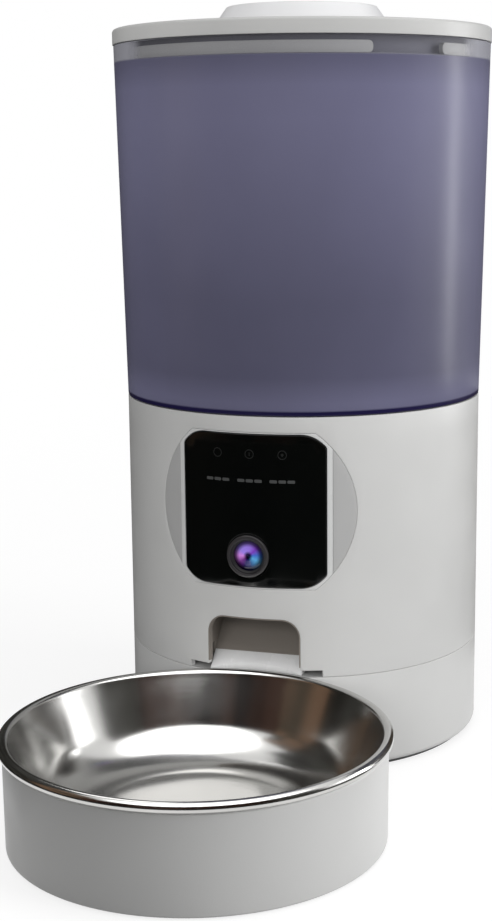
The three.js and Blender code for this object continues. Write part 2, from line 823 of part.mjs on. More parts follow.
function upperHousing() {
  const ledge_top = upper_top - ledge_below_rim;
  const profile = [
    [tower_inner, upper_bottom],
    [tower_radius, upper_bottom],
    [tower_radius, upper_top],
    [tower_inner, upper_top],
  ];
  let shell = revolve(profile);
  const ledge = revolve([
    [tower_inner + tower_wall / 2, ledge_top],
    [tower_inner - ledge_width, ledge_top],
    [tower_inner - ledge_width, ledge_top - ledge_thickness],
    [tower_inner + tower_wall / 2, ledge_top - ledge_thickness - ledge_width],
  ]);
  shell = shell.add(ledge.subtract(block(
    [-trim_back_circle, -tower_radius - overrun, upper_bottom],
    [trim_back_circle, 0, upper_top],
  )));
  shell = shell.subtract(prismAlongY(
    flatSidedCircle(trim_circle, panel_half_height + 3 * seat_gap, panel_level),
    -tower_radius - overrun,
    -tower_radius / 2,
  ));
  const half_height = chute_top / 2 + overrun;
  const arch_middle = upper_bottom + chute_top - half_height;
  shell = shell.subtract(prismAlongY(
    roundedRectangle(chute_half_width, half_height, chute_corner, arch_middle),
    -tower_radius - overrun,
    -tower_radius / 2,
  ));
  shell = shell.subtract(block(
    [-chute_half_width, -tower_radius - overrun, upper_bottom - overrun],
    [chute_half_width, -tower_radius / 2, upper_bottom + chute_corner],
  ));
  shell = shell.subtract(dockCut(dock_radius, upper_bottom - overrun, dock_roof));
  const inside = disc(tower_inner + tower_wall / 2, upper_bottom, upper_top);
  for (const [across, along] of deck_screw_places) {
    const boss_top = upper_bottom + boss_height;
    const boss = rodAlongZ(boss_radius, upper_bottom, boss_top, across, along, screw_segments);
    shell = shell.add(boss.intersect(inside));
    shell = shell.subtract(screwHole(upper_bottom - overrun, upper_bottom + screw_length, across, along));
  }
  return shell;
}

// Levels of the metering well
const well_top = upper_top - ledge_below_rim + seat_gap + well_flange;
const well_cup_top = well_top - well_funnel_drop;
const well_floor_top = well_cup_top - well_cup_depth;
const well_bottom = well_floor_top - well_wall;

function meteringWell() {
  const profile = [
    [dog_radius + 2 * seat_gap, well_bottom],
    [well_cup_radius + well_wall, well_bottom],
    [well_cup_radius + well_wall, well_cup_top - well_wall],
    [well_mouth_radius - well_flange - ledge_width, well_top - well_flange],
    [tower_inner - seat_gap, well_top - well_flange],
    [tower_inner - seat_gap, well_top],
    [well_mouth_radius, well_top],
    [well_cup_radius, well_cup_top],
    [well_cup_radius, well_floor_top],
    [dog_radius + 2 * seat_gap, well_floor_top],
  ];
  return revolve(profile).subtract(block(
    [-outlet_half_width, -outlet_front, well_bottom - overrun],
    [outlet_half_width, -outlet_back, well_floor_top + overrun / 2],
  ));
}

// Swept paddle: a strip whose middle line turns as it runs outwards
function vaneShape(outer) {
  const left = [];
  const right = [];
  const start = rotor_hub_radius / 2;
  for (let i = 0; i <= vane_steps; i += 1) {
    const share = i / vane_steps;
    const radius = start + (outer - start) * share;
    const angle = rad(vane_sweep_degrees) * share;
    const half = vane_thickness / 2;
    const centre = [radius * Math.cos(angle), radius * Math.sin(angle)];
    const lean = angle + Math.atan(rad(vane_sweep_degrees) * radius / (outer - start));
    left.push([centre[0] - half * Math.sin(lean), centre[1] + half * Math.cos(lean)]);
    right.unshift([centre[0] + half * Math.sin(lean), centre[1] - half * Math.cos(lean)]);
  }
  return outline([...right, ...left]);
}

function rotor() {
  const low = well_floor_top + rotor_floor_gap;
  const hub_top = low + rotor_hub_height;
  const outer = well_cup_radius - rotor_edge_gap;
  let body = revolve([
    [0, low],
    [rotor_hub_radius, low],
    [rotor_hub_radius, hub_top],
    [rotor_cone_tip, hub_top + rotor_cone_height],
    [0, hub_top + rotor_cone_height],
  ], middle_segments);
  const vane = prism(vaneShape(outer - vane_thickness), low, low + vane_height);
  for (let i = 0; i < vane_count; i += 1) {
    body = body.add(rotated(vane, i * 360 / vane_count));
  }
  const bore_top = low + dog_bore_depth;
  return body.subtract(rodAlongZ(dog_radius + seat_gap, low - overrun, bore_top, 0, 0, dog_sides));
}

function driveDog() {
  const top = well_floor_top + rotor_floor_gap + dog_bore_depth - seat_gap;
  return rodAlongZ(dog_radius, top - dog_length, top, 0, 0, dog_sides);
}

// Sector plate over the outlet, so that only the rotor brings food to it
function portionGuard() {
  const low = well_floor_top + rotor_floor_gap + vane_height + guard_rise;
  const outer = well_cup_radius - seat_gap;
  const shape = new THREE.Shape();
  const start = rad(-90 - guard_half_degrees);
  const end = rad(-90 + guard_half_degrees);
  const steps = 2 * curve_steps;
  const rim = [];
  for (let i = 0; i <= steps; i += 1) {
    const angle = start + (end - start) * i / steps;
    rim.push([outer * Math.cos(angle), outer * Math.sin(angle)]);
  }
  for (let i = steps; i >= 0; i -= 1) {
    const angle = start + (end - start) * i / steps;
    rim.push([guard_inner_radius * Math.cos(angle), guard_inner_radius * Math.sin(angle)]);
  }
  shape.setFromPoints(rim.map((point) => new THREE.Vector2(...point)));
  return prism(shape, low, low + guard_thickness);
}

const gearbox_top = well_bottom - seat_gap;

function gearbox() {
  const low = gearbox_top - gearbox_height;
  const body = disc(gearbox_radius, low, gearbox_top, middle_segments);
  const ear_shape = roundedRectangle(ear_half_length, ear_half_width, ear_half_width / 2);
  const ears = prism(ear_shape, gearbox_top - ear_thickness, gearbox_top);
  const top = well_floor_top + rotor_floor_gap + dog_bore_depth - seat_gap;
  const pocket = rodAlongZ(dog_radius + seat_gap, top - dog_length - seat_gap, gearbox_top + overrun);
  return body.add(ears).subtract(pocket);
}

function motorCan() {
  const top = gearbox_top - gearbox_height - seat_gap;
  return disc(motor_radius, top - motor_height, top, middle_segments);
}

// Side view of the chute's inside, as depth and level, from the well down to the mouth
function chutePath() {
  const mouth = -(tower_radius + 2 * overrun);
  const roof = upper_bottom + chute_top;
  const ramp_end = upper_bottom + ramp_foot_rise - ramp_slope * (-mouth - ramp_foot_front);
  const roof_front = -(tower_radius - tower_wall - chute_wall);
  return [
    [-throat_back, well_bottom],
    [-ramp_top_back, upper_bottom + ramp_top_rise],
    [mouth, ramp_end],
    [mouth, roof],
    [roof_front, roof],
    [-roof_bend_front, upper_bottom + roof_bend_rise],
    [-throat_front, well_bottom],
  ];
}

function chuteDuct() {
  const path = chutePath();
  const outer_half = chute_half_width + chute_wall;
  const top = well_bottom - seat_gap;
  let duct = prismAlongX(outline(grown(path, chute_wall)), -outer_half, outer_half);
  duct = duct.subtract(prismAlongX(outline(path), -chute_half_width, chute_half_width));
  duct = duct.intersect(disc(tower_inner - seat_gap, upper_bottom + seat_gap, top));
  duct = duct.subtract(block(
    [-chute_half_width, -throat_front, top - overrun],
    [chute_half_width, -throat_back, top + overrun],
  ));
  return duct.subtract(block(
    [-tower_radius, -tower_radius, 0],
    [tower_radius, -ramp_foot_front + seat_gap, upper_bottom + ramp_foot_rise + 2 * chute_wall],
  ));
}

function chuteLip() {
  const start = [-ramp_foot_front, upper_bottom + ramp_foot_rise];
  const front = -tower_radius;
  const front_level = start[1] - ramp_slope * (start[0] - front);
  const low = front_level - overrun;
  const under = upper_bottom + ramp_foot_rise - 2 * chute_wall;
  const shape = outline([
    start,
    [front, front_level],
    [front, low],
    [-lip_back, low],
    [-lip_back, under],
    [start[0], under],
  ]);
  const half = chute_half_width - lip_side_gap;
  const wedge = prismAlongX(shape, -half, half);
  const inside = disc(tower_radius, upper_bottom, upper_top);
  return wedge.intersect(inside).subtract(dockCut(dock_radius - lip_front_gap, 0, upper_top));
}

function tank() {
  const collar_outer = tower_inner - seat_gap - slide_gap / 2;
  const collar_inner = collar_outer - collar_wall;
  const top_outer = tower_radius + tank_flare;
  const profile = [
    [collar_inner, tank_bottom - collar_depth],
    [collar_outer, tank_bottom - collar_depth],
    [collar_outer, tank_bottom],
    [tower_radius, tank_bottom],
    [top_outer, tank_top],
    [top_outer - tank_wall, tank_top],
    [tower_radius - tank_wall, tank_bottom + tank_sill],
    [collar_inner, tank_bottom + tank_sill / 2],
  ];
  return revolve(profile);
}

function lidCover() {
  const hole = spindle_radius + slide_gap;
  const edge_centre = lid_radius - lid_edge_radius;
  const inner = tower_radius + tank_flare - tank_wall + lid_overhang;
  const profile = [
    [hole, lid_top - lid_plate],
    [inner, lid_top - lid_plate],
    [inner, lid_bottom],
    [lid_radius, lid_bottom],
  ];
  for (let i = 0; i <= curve_steps; i += 1) {
    const angle = (i / curve_steps) * Math.PI / 2;
    profile.push([
      edge_centre + lid_edge_radius * Math.cos(angle),
      lid_top - lid_edge_radius * (1 - Math.sin(angle)),
    ]);
  }
  profile.push([hole, lid_top]);
  return revolve(profile);
}

// Levels and places inside the lid
const liner_bottom = lid_bottom - liner_below;
const arm_bottom = liner_bottom + liner_wall + seat_gap;
const arm_top = arm_bottom + arm_thickness;
const cam_bottom = arm_top + seat_gap;
const cam_top = cam_bottom + cam_thickness;
const lid_underside = lid_top - lid_plate - seat_gap;
const lock_height_share = (liner_bottom + lock_rise - tank_bottom) / tank_height;
const lock_outer = tower_radius + tank_flare * lock_height_share - tank_wall - seat_gap - slide_gap / 2;
const liner_radius = lock_outer - lock_thickness - lock_travel - slide_gap;
const liner_boss_place = liner_radius - liner_boss_inset;

// The liner closes the lid from below, and its wall has a window for each arm
function lidLiner() {
  let liner = disc(liner_radius, liner_bottom, liner_bottom + liner_wall);
  liner = liner.add(ring(liner_radius - liner_wall, liner_radius, liner_bottom, lid_underside));
  for (let i = 0; i < lock_count; i += 1) {
    const angle = lock_first_degrees + i * 360 / lock_count;
    const half = arm_width / 2 + slide_gap;
    const window = block(
      [-half, -liner_radius - overrun, liner_bottom + liner_wall],
      [half, -liner_radius + liner_wall + overrun / 2, arm_top + slide_gap],
    );
    liner = liner.subtract(rotated(window, angle));
  }
  const boss_places = ringPlaces(lock_count, liner_boss_place, lock_first_degrees + 180 / lock_count);
  for (const [across, along] of boss_places) {
    liner = liner.add(rodAlongZ(liner_boss_radius, liner_bottom, lid_underside, across, along));
  }
  return liner;
}

// Lock segment: an arc that bears on the tank's inside, an arm towards the middle and its cam pin
function lockSegment() {
  const low = liner_bottom + lock_rise;
  const high = low + lock_height;
  const inner = lock_outer - lock_thickness;
  const points = [];
  const steps = 3 * curve_steps;
  const half_angle = rad(lock_arc_degrees / 2);
  for (let i = 0; i <= steps; i += 1) {
    const angle = -Math.PI / 2 - half_angle + 2 * half_angle * i / steps;
    points.push([lock_outer * Math.cos(angle), lock_outer * Math.sin(angle)]);
  }
  for (let i = steps; i >= 0; i -= 1) {
    const angle = -Math.PI / 2 - half_angle + 2 * half_angle * i / steps;
    points.push([inner * Math.cos(angle), inner * Math.sin(angle)]);
  }
  let segment = prism(outline(points), low, high);
  segment = segment.add(block(
    [-arm_width / 2, -inner - lock_thickness / 2, arm_bottom],
    [arm_width / 2, -arm_inner, arm_top],
  ));
  return segment.add(rodAlongZ(pin_radius, arm_bottom, cam_top, 0, -pin_place));
}

// Cam disc with one spiral slot for each pin: a turn of the knob draws the pins inwards
function camDisc() {
  const start = -cam_slot_spare_degrees;
  const end = lock_turn_degrees + cam_slot_spare_degrees;
  const half = pin_radius + pin_clearance;
  const left = [];
  const right = [];
  for (let i = 0; i <= cam_slot_steps; i += 1) {
    const turn = start + (end - start) * i / cam_slot_steps;
    const radius = pin_place - lock_travel * turn / lock_turn_degrees;
    const angle = rad(-90 - turn);
    left.push([(radius + half) * Math.cos(angle), (radius + half) * Math.sin(angle)]);
    right.unshift([(radius - half) * Math.cos(angle), (radius - half) * Math.sin(angle)]);
  }
  let cam = ring(spindle_radius + seat_gap, cam_radius, cam_bottom, cam_top, middle_segments);
  cam = cam.add(ring(spindle_radius + seat_gap, cam_hub_radius, cam_bottom, lid_underside, middle_segments));
  const slot = prism(outline([...left, ...right]), cam_bottom - overrun, cam_top + overrun / 2);
  for (let i = 0; i < lock_count; i += 1) {
    cam = cam.subtract(rotated(slot, lock_first_degrees + i * 360 / lock_count));
  }
  return cam;
}

function lidKnob() {
  let knob = revolve([
    [0, knob_bottom],
    [knob_radius, knob_bottom],
    [knob_radius, knob_bottom + knob_skirt],
    [knob_top_radius, knob_top - knob_top_edge],
    [knob_top_radius - knob_top_edge, knob_top],
    [0, knob_top],
  ]);
  const well = disc(knob_well_radius, knob_top - knob_well_depth, knob_top + overrun);
  const bar = block(
    [-knob_bar_width / 2, -knob_radius, knob_bottom],
    [knob_bar_width / 2, knob_radius, knob_top + 2 * overrun],
  );
  knob = knob.subtract(well.subtract(bar));
  knob = knob.add(disc(spindle_radius, cam_bottom + seat_gap, knob_bottom + knob_skirt, middle_segments));
  return knob.subtract(screwHole(cam_bottom - overrun, cam_bottom + screw_length, 0, 0));
}

function holderBody() {
  const bottom_radius = holder_radius - holder_draft;
  const floor_hole = holder_radius - holder_floor_width;
  const top_inner = holder_radius - holder_wall;
  const bottom_inner = bottom_radius - holder_wall;
  const low = holder_ground_gap;
  const profile = [
    [bottom_inner, low],
    [bottom_radius - holder_edge, low],
    [bottom_radius, low + holder_edge],
    [holder_radius, holder_height - holder_edge],
    [holder_radius - holder_edge / 2, holder_height],
    [top_inner, holder_height],
    [bottom_inner, holder_floor + holder_floor_thickness],
    [floor_hole, holder_floor + holder_floor_thickness],
    [floor_hole, holder_floor],
    [bottom_inner, holder_floor],
  ];
  let holder = revolve(profile);
  const tongue_low = lower_bottom + flange_thickness + slide_gap;
  const shape = new THREE.Shape();
  shape.moveTo(-tongue_half_width, holder_radius - holder_wall);
  shape.lineTo(tongue_half_width, holder_radius - holder_wall);
  const tongue_tip = bowl_distance - speaker_front - speaker_radius - tongue_speaker_gap;
  const corner_along = tongue_tip - tongue_corner;
  const corner_across = tongue_half_width - tongue_corner;
  shape.absarc(corner_across, corner_along, tongue_corner, 0, Math.PI / 2);
  shape.absarc(-corner_across, corner_along, tongue_corner, Math.PI / 2, Math.PI);
  shape.closePath();
  holder = holder.add(prism(shape, tongue_low, tongue_low + tongue_thickness));
  return holder;
}

// Bowl of sheet steel: flat base, round corner, leaning wall and a rolled bead that hangs on the holder
function steelBowl() {
  const bead_level = holder_height + seat_gap + bead_radius;
  const bead_centre = rim_radius - bead_radius;
  const lean = Math.tan(rad(bowl_draft_degrees));
  const base_level = holder_floor + holder_floor_thickness + bowl_base_gap;
  const arc_top = rad(90 - bowl_draft_degrees);
  const corner_rise = bowl_corner_radius * (1 - Math.cos(arc_top));
  const wall_bottom = base_level + corner_rise;
  const wall_foot_radius = bead_centre - bead_radius - lean * (bead_level - wall_bottom);
  const corner_centre = wall_foot_radius - bowl_corner_radius * Math.sin(arc_top);
  const outer = [[0, base_level]];
  const inner = [[0, base_level + bowl_sheet]];
  const inner_corner = bowl_corner_radius - bowl_sheet;
  for (let i = 0; i <= bowl_corner_steps; i += 1) {
    const angle = arc_top * i / bowl_corner_steps;
    outer.push([
      corner_centre + bowl_corner_radius * Math.sin(angle),
      base_level + bowl_corner_radius * (1 - Math.cos(angle)),
    ]);
    inner.push([
      corner_centre + inner_corner * Math.sin(angle),
      base_level + bowl_corner_radius - inner_corner * Math.cos(angle),
    ]);
  }
  const bead = [];
  for (let i = 0; i <= bead_steps; i += 1) {
    const angle = rad(bead_first_degrees + bead_sweep_degrees * i / bead_steps);
    bead.push([bead_centre + bead_radius * Math.cos(angle), bead_level + bead_radius * Math.sin(angle)]);
  }
  return revolve([...outer, ...bead, ...inner.reverse()]);
}

// Assembly: everything is placed about the tower's axis, and the group is moved so that
// its origin stands under the middle of the whole object
const assembly = new THREE.Group();
assembly.position.y = -depth_centre;
feeder.add(assembly);

const base = new THREE.Group();
assembly.add(base);
addPiece(base, 'foot_ring', footRing(), 'rubber');
addPiece(base, 'bottom_plate', bottomPlate(), 'white');
addPiece(base, 'lower_shell', lowerShell(), 'white');
addPiece(base, 'upper_housing', upperHousing(), 'white');
addPiece(base, 'panel_trim', panelTrim(), 'trim');
addPiece(base, 'touch_panel', touchPanel(), 'black');
addPiece(base, 'camera_ring', cameraRing(), 'grey');
const lens_depth = lens_sink + lens_thickness - ring_front;
addPiece(base, 'camera_lens', cameraLens(), 'lens', [camera_side, lens_depth, camera_level]);
addPiece(base, 'camera_module', cameraModule(), 'black');
addPiece(base, 'control_board', controlBoard(), 'board');
addPiece(base, 'chute_duct', chuteDuct(), 'dark');
addPiece(base, 'chute_lip', chuteLip(), 'lip');
addPiece(base, 'metering_well', meteringWell(), 'white');
addPiece(base, 'portion_guard', portionGuard(), 'white');
addPiece(base, 'gearbox', gearbox(), 'dark');
addPiece(base, 'motor_can', motorCan(), 'steel');
addPiece(base, 'battery_box', batteryBox(), 'dark');
addPiece(base, 'speaker', speaker(), 'black', [0, -speaker_front, 0]);
addPiece(base, 'power_inlet', powerInlet(), 'black', [0, tower_radius, inlet_level]);

const power_board_top = inlet_level - inlet_height / 2 - seat_gap;
const power_board_rear = Math.sqrt((tower_inner - seat_gap) ** 2 - (power_board_width / 2) ** 2);
addPiece(base, 'power_board', block(
  [-power_board_width / 2, -power_board_depth, -board_thickness],
  [power_board_width / 2, 0, 0],
), 'board', [0, power_board_rear, power_board_top]);

const bay_inner_front = bay_back_shift - bay_inner_length / 2;
const bay_inner_rear = bay_back_shift + bay_inner_length / 2;
addPiece(base, 'battery_contact_front', contactStrip(1), 'steel', [0, bay_inner_front, 0]);
addPiece(base, 'battery_contact_rear', contactStrip(-1), 'steel', [0, bay_inner_rear, 0]);
for (let i = 0; i < cell_count; i += 1) {
  const across = (i - (cell_count - 1) / 2) * cell_pitch;
  const flipped = i % 2 === 1;
  const length_slack = bay_inner_length - cell_length - cell_nub_height;
  const start = flipped ? bay_inner_rear - length_slack / 2 : bay_inner_front + length_slack / 2;
  addPiece(base, `battery_cell_${i + 1}`, cell(), 'cell', [across, start, cell_level], flipped ? 180 : 0);
}
const case_screw = screw(screw_length, screw_head_radius);
plate_screw_places.forEach(([across, along], i) => {
  const level = plate_bottom + screw_head_height;
  addPiece(base, `plate_screw_${i + 1}`, case_screw, 'steel', [across, along, level]);
});
deck_screw_places.forEach(([across, along], i) => {
  const level = lower_top - deck_thickness - seat_gap;
  addPiece(base, `deck_screw_${i + 1}`, case_screw, 'steel', [across, along, level]);
});

addPiece(assembly, 'battery_door', batteryDoor(), 'white', [0, bay_back_shift, 0]);

const turning = new THREE.Group();
assembly.add(turning);
addPiece(turning, 'metering_rotor', rotor(), 'vane');
addPiece(turning, 'drive_dog', driveDog(), 'steel');

addPiece(assembly, 'food_tank', tank(), 'tank');

const lid = new THREE.Group();
assembly.add(lid);
addPiece(lid, 'lid_cover', lidCover(), 'white');
addPiece(lid, 'lid_liner', lidLiner(), 'white');
addPiece(lid, 'lid_knob', lidKnob(), 'white');
addPiece(lid, 'cam_disc', camDisc(), 'grey');
const hub_screw = screw(screw_length, cam_hub_radius - seat_gap);
addPiece(lid, 'knob_screw', hub_screw, 'steel', [0, 0, cam_bottom - seat_gap]);
for (let i = 0; i < lock_count; i += 1) {
  const turn = lock_first_degrees + i * 360 / lock_count;
  addPiece(lid, `lock_segment_${i + 1}`, lockSegment(), 'white', [0, 0, 0], turn);
}

const dish = new THREE.Group();
dish.position.y = -bowl_distance;
assembly.add(dish);
addPiece(dish, 'bowl_holder', holderBody(), 'white');
addPiece(dish, 'steel_bowl', steelBowl(), 'steel');
const holder_foot = disc(holder_foot_radius, 0, holder_floor - seat_gap, small_segments);
const holder_foot_place = holder_radius - holder_foot_inset;
const holder_foot_places = ringPlaces(holder_foot_count, holder_foot_place, holder_foot_first_degrees);
holder_foot_places.forEach(([across, along], i) => {
  addPiece(dish, `holder_foot_${i + 1}`, holder_foot, 'rubber', [across, along, 0]);
});

export default feeder;
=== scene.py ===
"""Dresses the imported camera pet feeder: smooth shells, finishes, studio and camera.

Sizes are in millimetres, levels are above the floor, and Sketch turns them into the frame's metres.
LAP is how far solids that join overlap, SPARE how far a cutting solid reaches past what it cuts, and
TOUCH keeps two faces apart. SEGMENTS and FINE are the numbers of flats round a turned shape, ROUND_STEPS
and SOFT_STEPS those of a rounded corner. Edges are the radii of an outline's corners, in its points' order.
"""
import json
import logging
import math
from dataclasses import dataclass, field, replace
from enum import Enum
from typing import Callable, Optional, Sequence

import bmesh
import bpy
import numpy as np
from mathutils import Matrix, Vector
from mathutils.geometry import delaunay_2d_cdt

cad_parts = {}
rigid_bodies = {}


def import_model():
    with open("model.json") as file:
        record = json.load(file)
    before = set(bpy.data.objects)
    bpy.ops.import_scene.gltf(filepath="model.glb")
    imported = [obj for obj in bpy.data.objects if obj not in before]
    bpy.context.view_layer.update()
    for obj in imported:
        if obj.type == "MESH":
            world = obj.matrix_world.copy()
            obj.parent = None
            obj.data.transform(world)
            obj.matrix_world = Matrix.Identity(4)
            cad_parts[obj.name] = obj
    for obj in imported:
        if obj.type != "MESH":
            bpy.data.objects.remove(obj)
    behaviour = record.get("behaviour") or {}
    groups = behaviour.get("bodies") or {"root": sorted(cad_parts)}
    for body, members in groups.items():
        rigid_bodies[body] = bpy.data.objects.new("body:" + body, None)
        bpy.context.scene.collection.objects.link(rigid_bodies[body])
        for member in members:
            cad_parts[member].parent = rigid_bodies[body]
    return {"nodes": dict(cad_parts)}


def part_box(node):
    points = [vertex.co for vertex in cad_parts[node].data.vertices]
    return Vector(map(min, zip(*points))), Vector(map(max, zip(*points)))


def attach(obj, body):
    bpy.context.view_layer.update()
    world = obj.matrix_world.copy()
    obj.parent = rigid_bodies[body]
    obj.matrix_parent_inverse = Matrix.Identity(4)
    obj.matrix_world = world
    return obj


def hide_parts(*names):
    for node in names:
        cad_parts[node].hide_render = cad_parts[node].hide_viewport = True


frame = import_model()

MM = 0.001
SEGMENTS = 168
FINE = 192
ROUND_STEPS = 4
SOFT_STEPS = 6
LAP = 1.0
SPARE = 5.0
TOUCH = 0.01

Point = tuple[float, float]
Corner = tuple[float, float, float]
Colour = tuple[float, float, float]
Edges = tuple[float, ...]
Socket = bpy.types.NodeSocket
Place = Callable[[float, float, float], Vector]

log = logging.getLogger("feeder")
MADE: dict[str, bpy.types.Material] = {}


class Body(Enum):
    """Bodies of the frame that pieces ride on."""

    BASE = "base"
    ROTOR = "rotor"
    TANK = "tank"
    LID = "lid"
    KNOB = "knob"
    TRAY = "tray"
    BOWL = "bowl"


class Join(Enum):
    """Ways to combine one sketch with another."""

    CUT = "DIFFERENCE"
    ADD = "UNION"
    KEEP = "INTERSECT"


# --------- outlines


def arc(centre: Point, radius: float, start: float, end: float, steps: int) -> list[Point]:
    """Makes points along an arc.

    Args:
        centre: Middle of the arc.
        radius: Its radius.
        start: First angle in degrees.
        end: Last angle in degrees.
        steps: Number of chords.

    Returns:
        The points from the first to the last angle.
    """
    angles = [math.radians(start + (end - start) * i / steps) for i in range(steps + 1)]
    return [(centre[0] + radius * math.cos(a), centre[1] + radius * math.sin(a)) for a in angles]


def circle(centre: Point, radius: float, sides: int) -> list[Point]:
    """Makes a circle's points, one for each side."""
    return arc(centre, radius, 0, 360 - 360 / sides, sides - 1)


def between(first: Point, second: Point, parts: int) -> list[Point]:
    """Makes the points that split the stretch between two others into equal parts."""
    return [tuple(a + (b - a) * k / parts for a, b in zip(first, second)) for k in range(1, parts)]


def oblong(left: float, right: float, low: float, high: float, radii: Point = (0.0, 0.0)) -> list[Corner]:
    """Draws a rectangle, with the radii of its lower and its upper corners."""
    return [(left, low, radii[0]), (right, low, radii[0]), (right, high, radii[1]), (left, high, radii[1])]


def rounded(corners: Sequence[Corner], steps: int = ROUND_STEPS) -> list[Point]:
    """Rounds the corners of a closed outline.

    Args:
        corners: Each corner's place and the radius that rounds it.
        steps: Number of chords in each rounded corner.

    Returns:
        The outline's points.
    """
    points: list[Point] = []
    for i, (x, y, radius) in enumerate(corners):
        here = Vector((x, y))
        back = (Vector(corners[i - 1][:2]) - here).normalized()
        ahead = (Vector(corners[(i + 1) % len(corners)][:2]) - here).normalized()
        half = back.angle(ahead) / 2
        if radius <= 0 or half > math.radians(89):
            points.append((x, y))
            continue
        centre = here + (back + ahead).normalized() * (radius / math.sin(half))
        first = here + back * (radius / math.tan(half)) - centre
        last = here + ahead * (radius / math.tan(half)) - centre
        start = math.atan2(first.y, first.x)
        sweep = math.remainder(math.atan2(last.y, last.x) - start, 2 * math.pi)
        for k in range(steps + 1):
            angle = start + sweep * k / steps
            points.append((centre.x + radius * math.cos(angle), centre.y + radius * math.sin(angle)))
    return points


def edged(points: Sequence[Point], radii: Sequence[float], steps: int = ROUND_STEPS) -> list[Point]:
    """Rounds the corners of a closed outline, with the radii given apart."""
    return rounded([(x, y, radius) for (x, y), radius in zip(points, radii)], steps)


def dense(points: Sequence[Point], step: Point, closed: bool = True) -> list[Point]:
    """Splits long edges of an outline.

    Args:
        points: The outline.
        step: Longest stretch allowed across and up.
        closed: Whether the last point joins the first.

    Returns:
        The outline with more points where it needs them.
    """
    made: list[Point] = []
    count = len(points)
    for i in range(count if closed else count - 1):
        (x0, y0), (x1, y1) = points[i], points[(i + 1) % count]
        parts = max(1, math.ceil(abs(x1 - x0) / step[0] - 0.01), math.ceil(abs(y1 - y0) / step[1] - 0.01))
        made += [(x0 + (x1 - x0) * k / parts, y0 + (y1 - y0) * k / parts) for k in range(parts)]
    return made if closed else made + [points[-1]]


def shifted(points: Sequence[Point], distance: float, closed: bool = True) -> list[Point]:
    """Moves an outline to its own left, which is where its material lies.

    Args:
        points: The outline, with its material on the left.
        distance: How far it moves.
        closed: Whether the last point joins the first.

    Returns:
        As many points, moved.
    """
    moved: list[Point] = []
    count = len(points)
    for i, point in enumerate(points):
        here = Vector(point)
        before = Vector(points[i - 1]) if closed or i else 2 * here - Vector(points[1])
        after = Vector(points[(i + 1) % count]) if closed or i < count - 1 else 2 * here - Vector(points[-2])
        edge_in, edge_out = (here - before).normalized(), (after - here).normalized()
        normal = Vector((-edge_in.y, edge_in.x))
        middle = (normal + Vector((-edge_out.y, edge_out.x))).normalized()
        here += middle * distance / max(middle.dot(normal), 0.4)
        moved.append((here.x, here.y))
    return moved


def signed_area(points: Sequence[Point]) -> float:
    """Returns an outline's area, positive where it runs anticlockwise."""
    return sum(a[0] * b[1] - b[0] * a[1] for a, b in zip(points, [*points[1:], points[0]])) / 2


def facing(points: Sequence[Point], hole: bool) -> list[Point]:
    """Turns an outline so that the material lies on its left: outside a hole, inside any other."""
    return list(points) if (signed_area(points) < 0) == hole else list(reversed(points))


def inside(spots: np.ndarray, loops: Sequence[Sequence[Point]]) -> np.ndarray:
    """Tells which spots lie inside an odd number of loops.

    Args:
        spots: Places, one in each row.
        loops: Closed outlines.

    Returns:
        One truth value for each spot.
    """
    held = np.zeros(len(spots), bool)
    for loop in loops:
        ends = np.array(loop)
        for (x0, y0), (x1, y1) in zip(ends, np.roll(ends, -1, axis=0)):
            if y0 == y1:
                continue
            spans = (spots[:, 1] < y0) != (spots[:, 1] < y1)
            cross = x0 + (spots[:, 1] - y0) * (x1 - x0) / (y1 - y0)
            held ^= spans & (spots[:, 0] < cross)
    return held


@dataclass(frozen=True)
class Wrap:
    """Puts a flat drawing on an upright cylinder. Across is the arc length from the front."""

    radius: float
    centre: float

    def __call__(self, across: float, up: float, depth: float) -> Vector:
        """Returns the point at this place of the drawing and this depth under the surface."""
        angle, reach = across / self.radius, self.radius - depth
        return Vector((reach * math.sin(angle), self.centre - reach * math.cos(angle), up))

    def across(self, side: float) -> float:
        """Returns the arc length at a sideways distance from the middle plane."""
        return self.radius * math.asin(side / self.radius)


@dataclass(frozen=True)
class Level:
    """Puts a flat drawing on a level plane, facing up."""

    top: float
    centre: float

    def __call__(self, across: float, along: float, depth: float) -> Vector:
        """Returns the point at this place of the drawing and this depth under the plane."""
        return Vector((across, self.centre + along, self.top - depth))


# --------- meshes


def placed(name: str, data: bpy.types.ID) -> bpy.types.Object:
    """Puts a new object in the scene.

    Args:
        name: Its name.
        data: Its mesh, lamp or camera.

    Returns:
        The object.
    """
    thing = bpy.data.objects.new(name, data)
    bpy.context.scene.collection.objects.link(thing)
    return thing


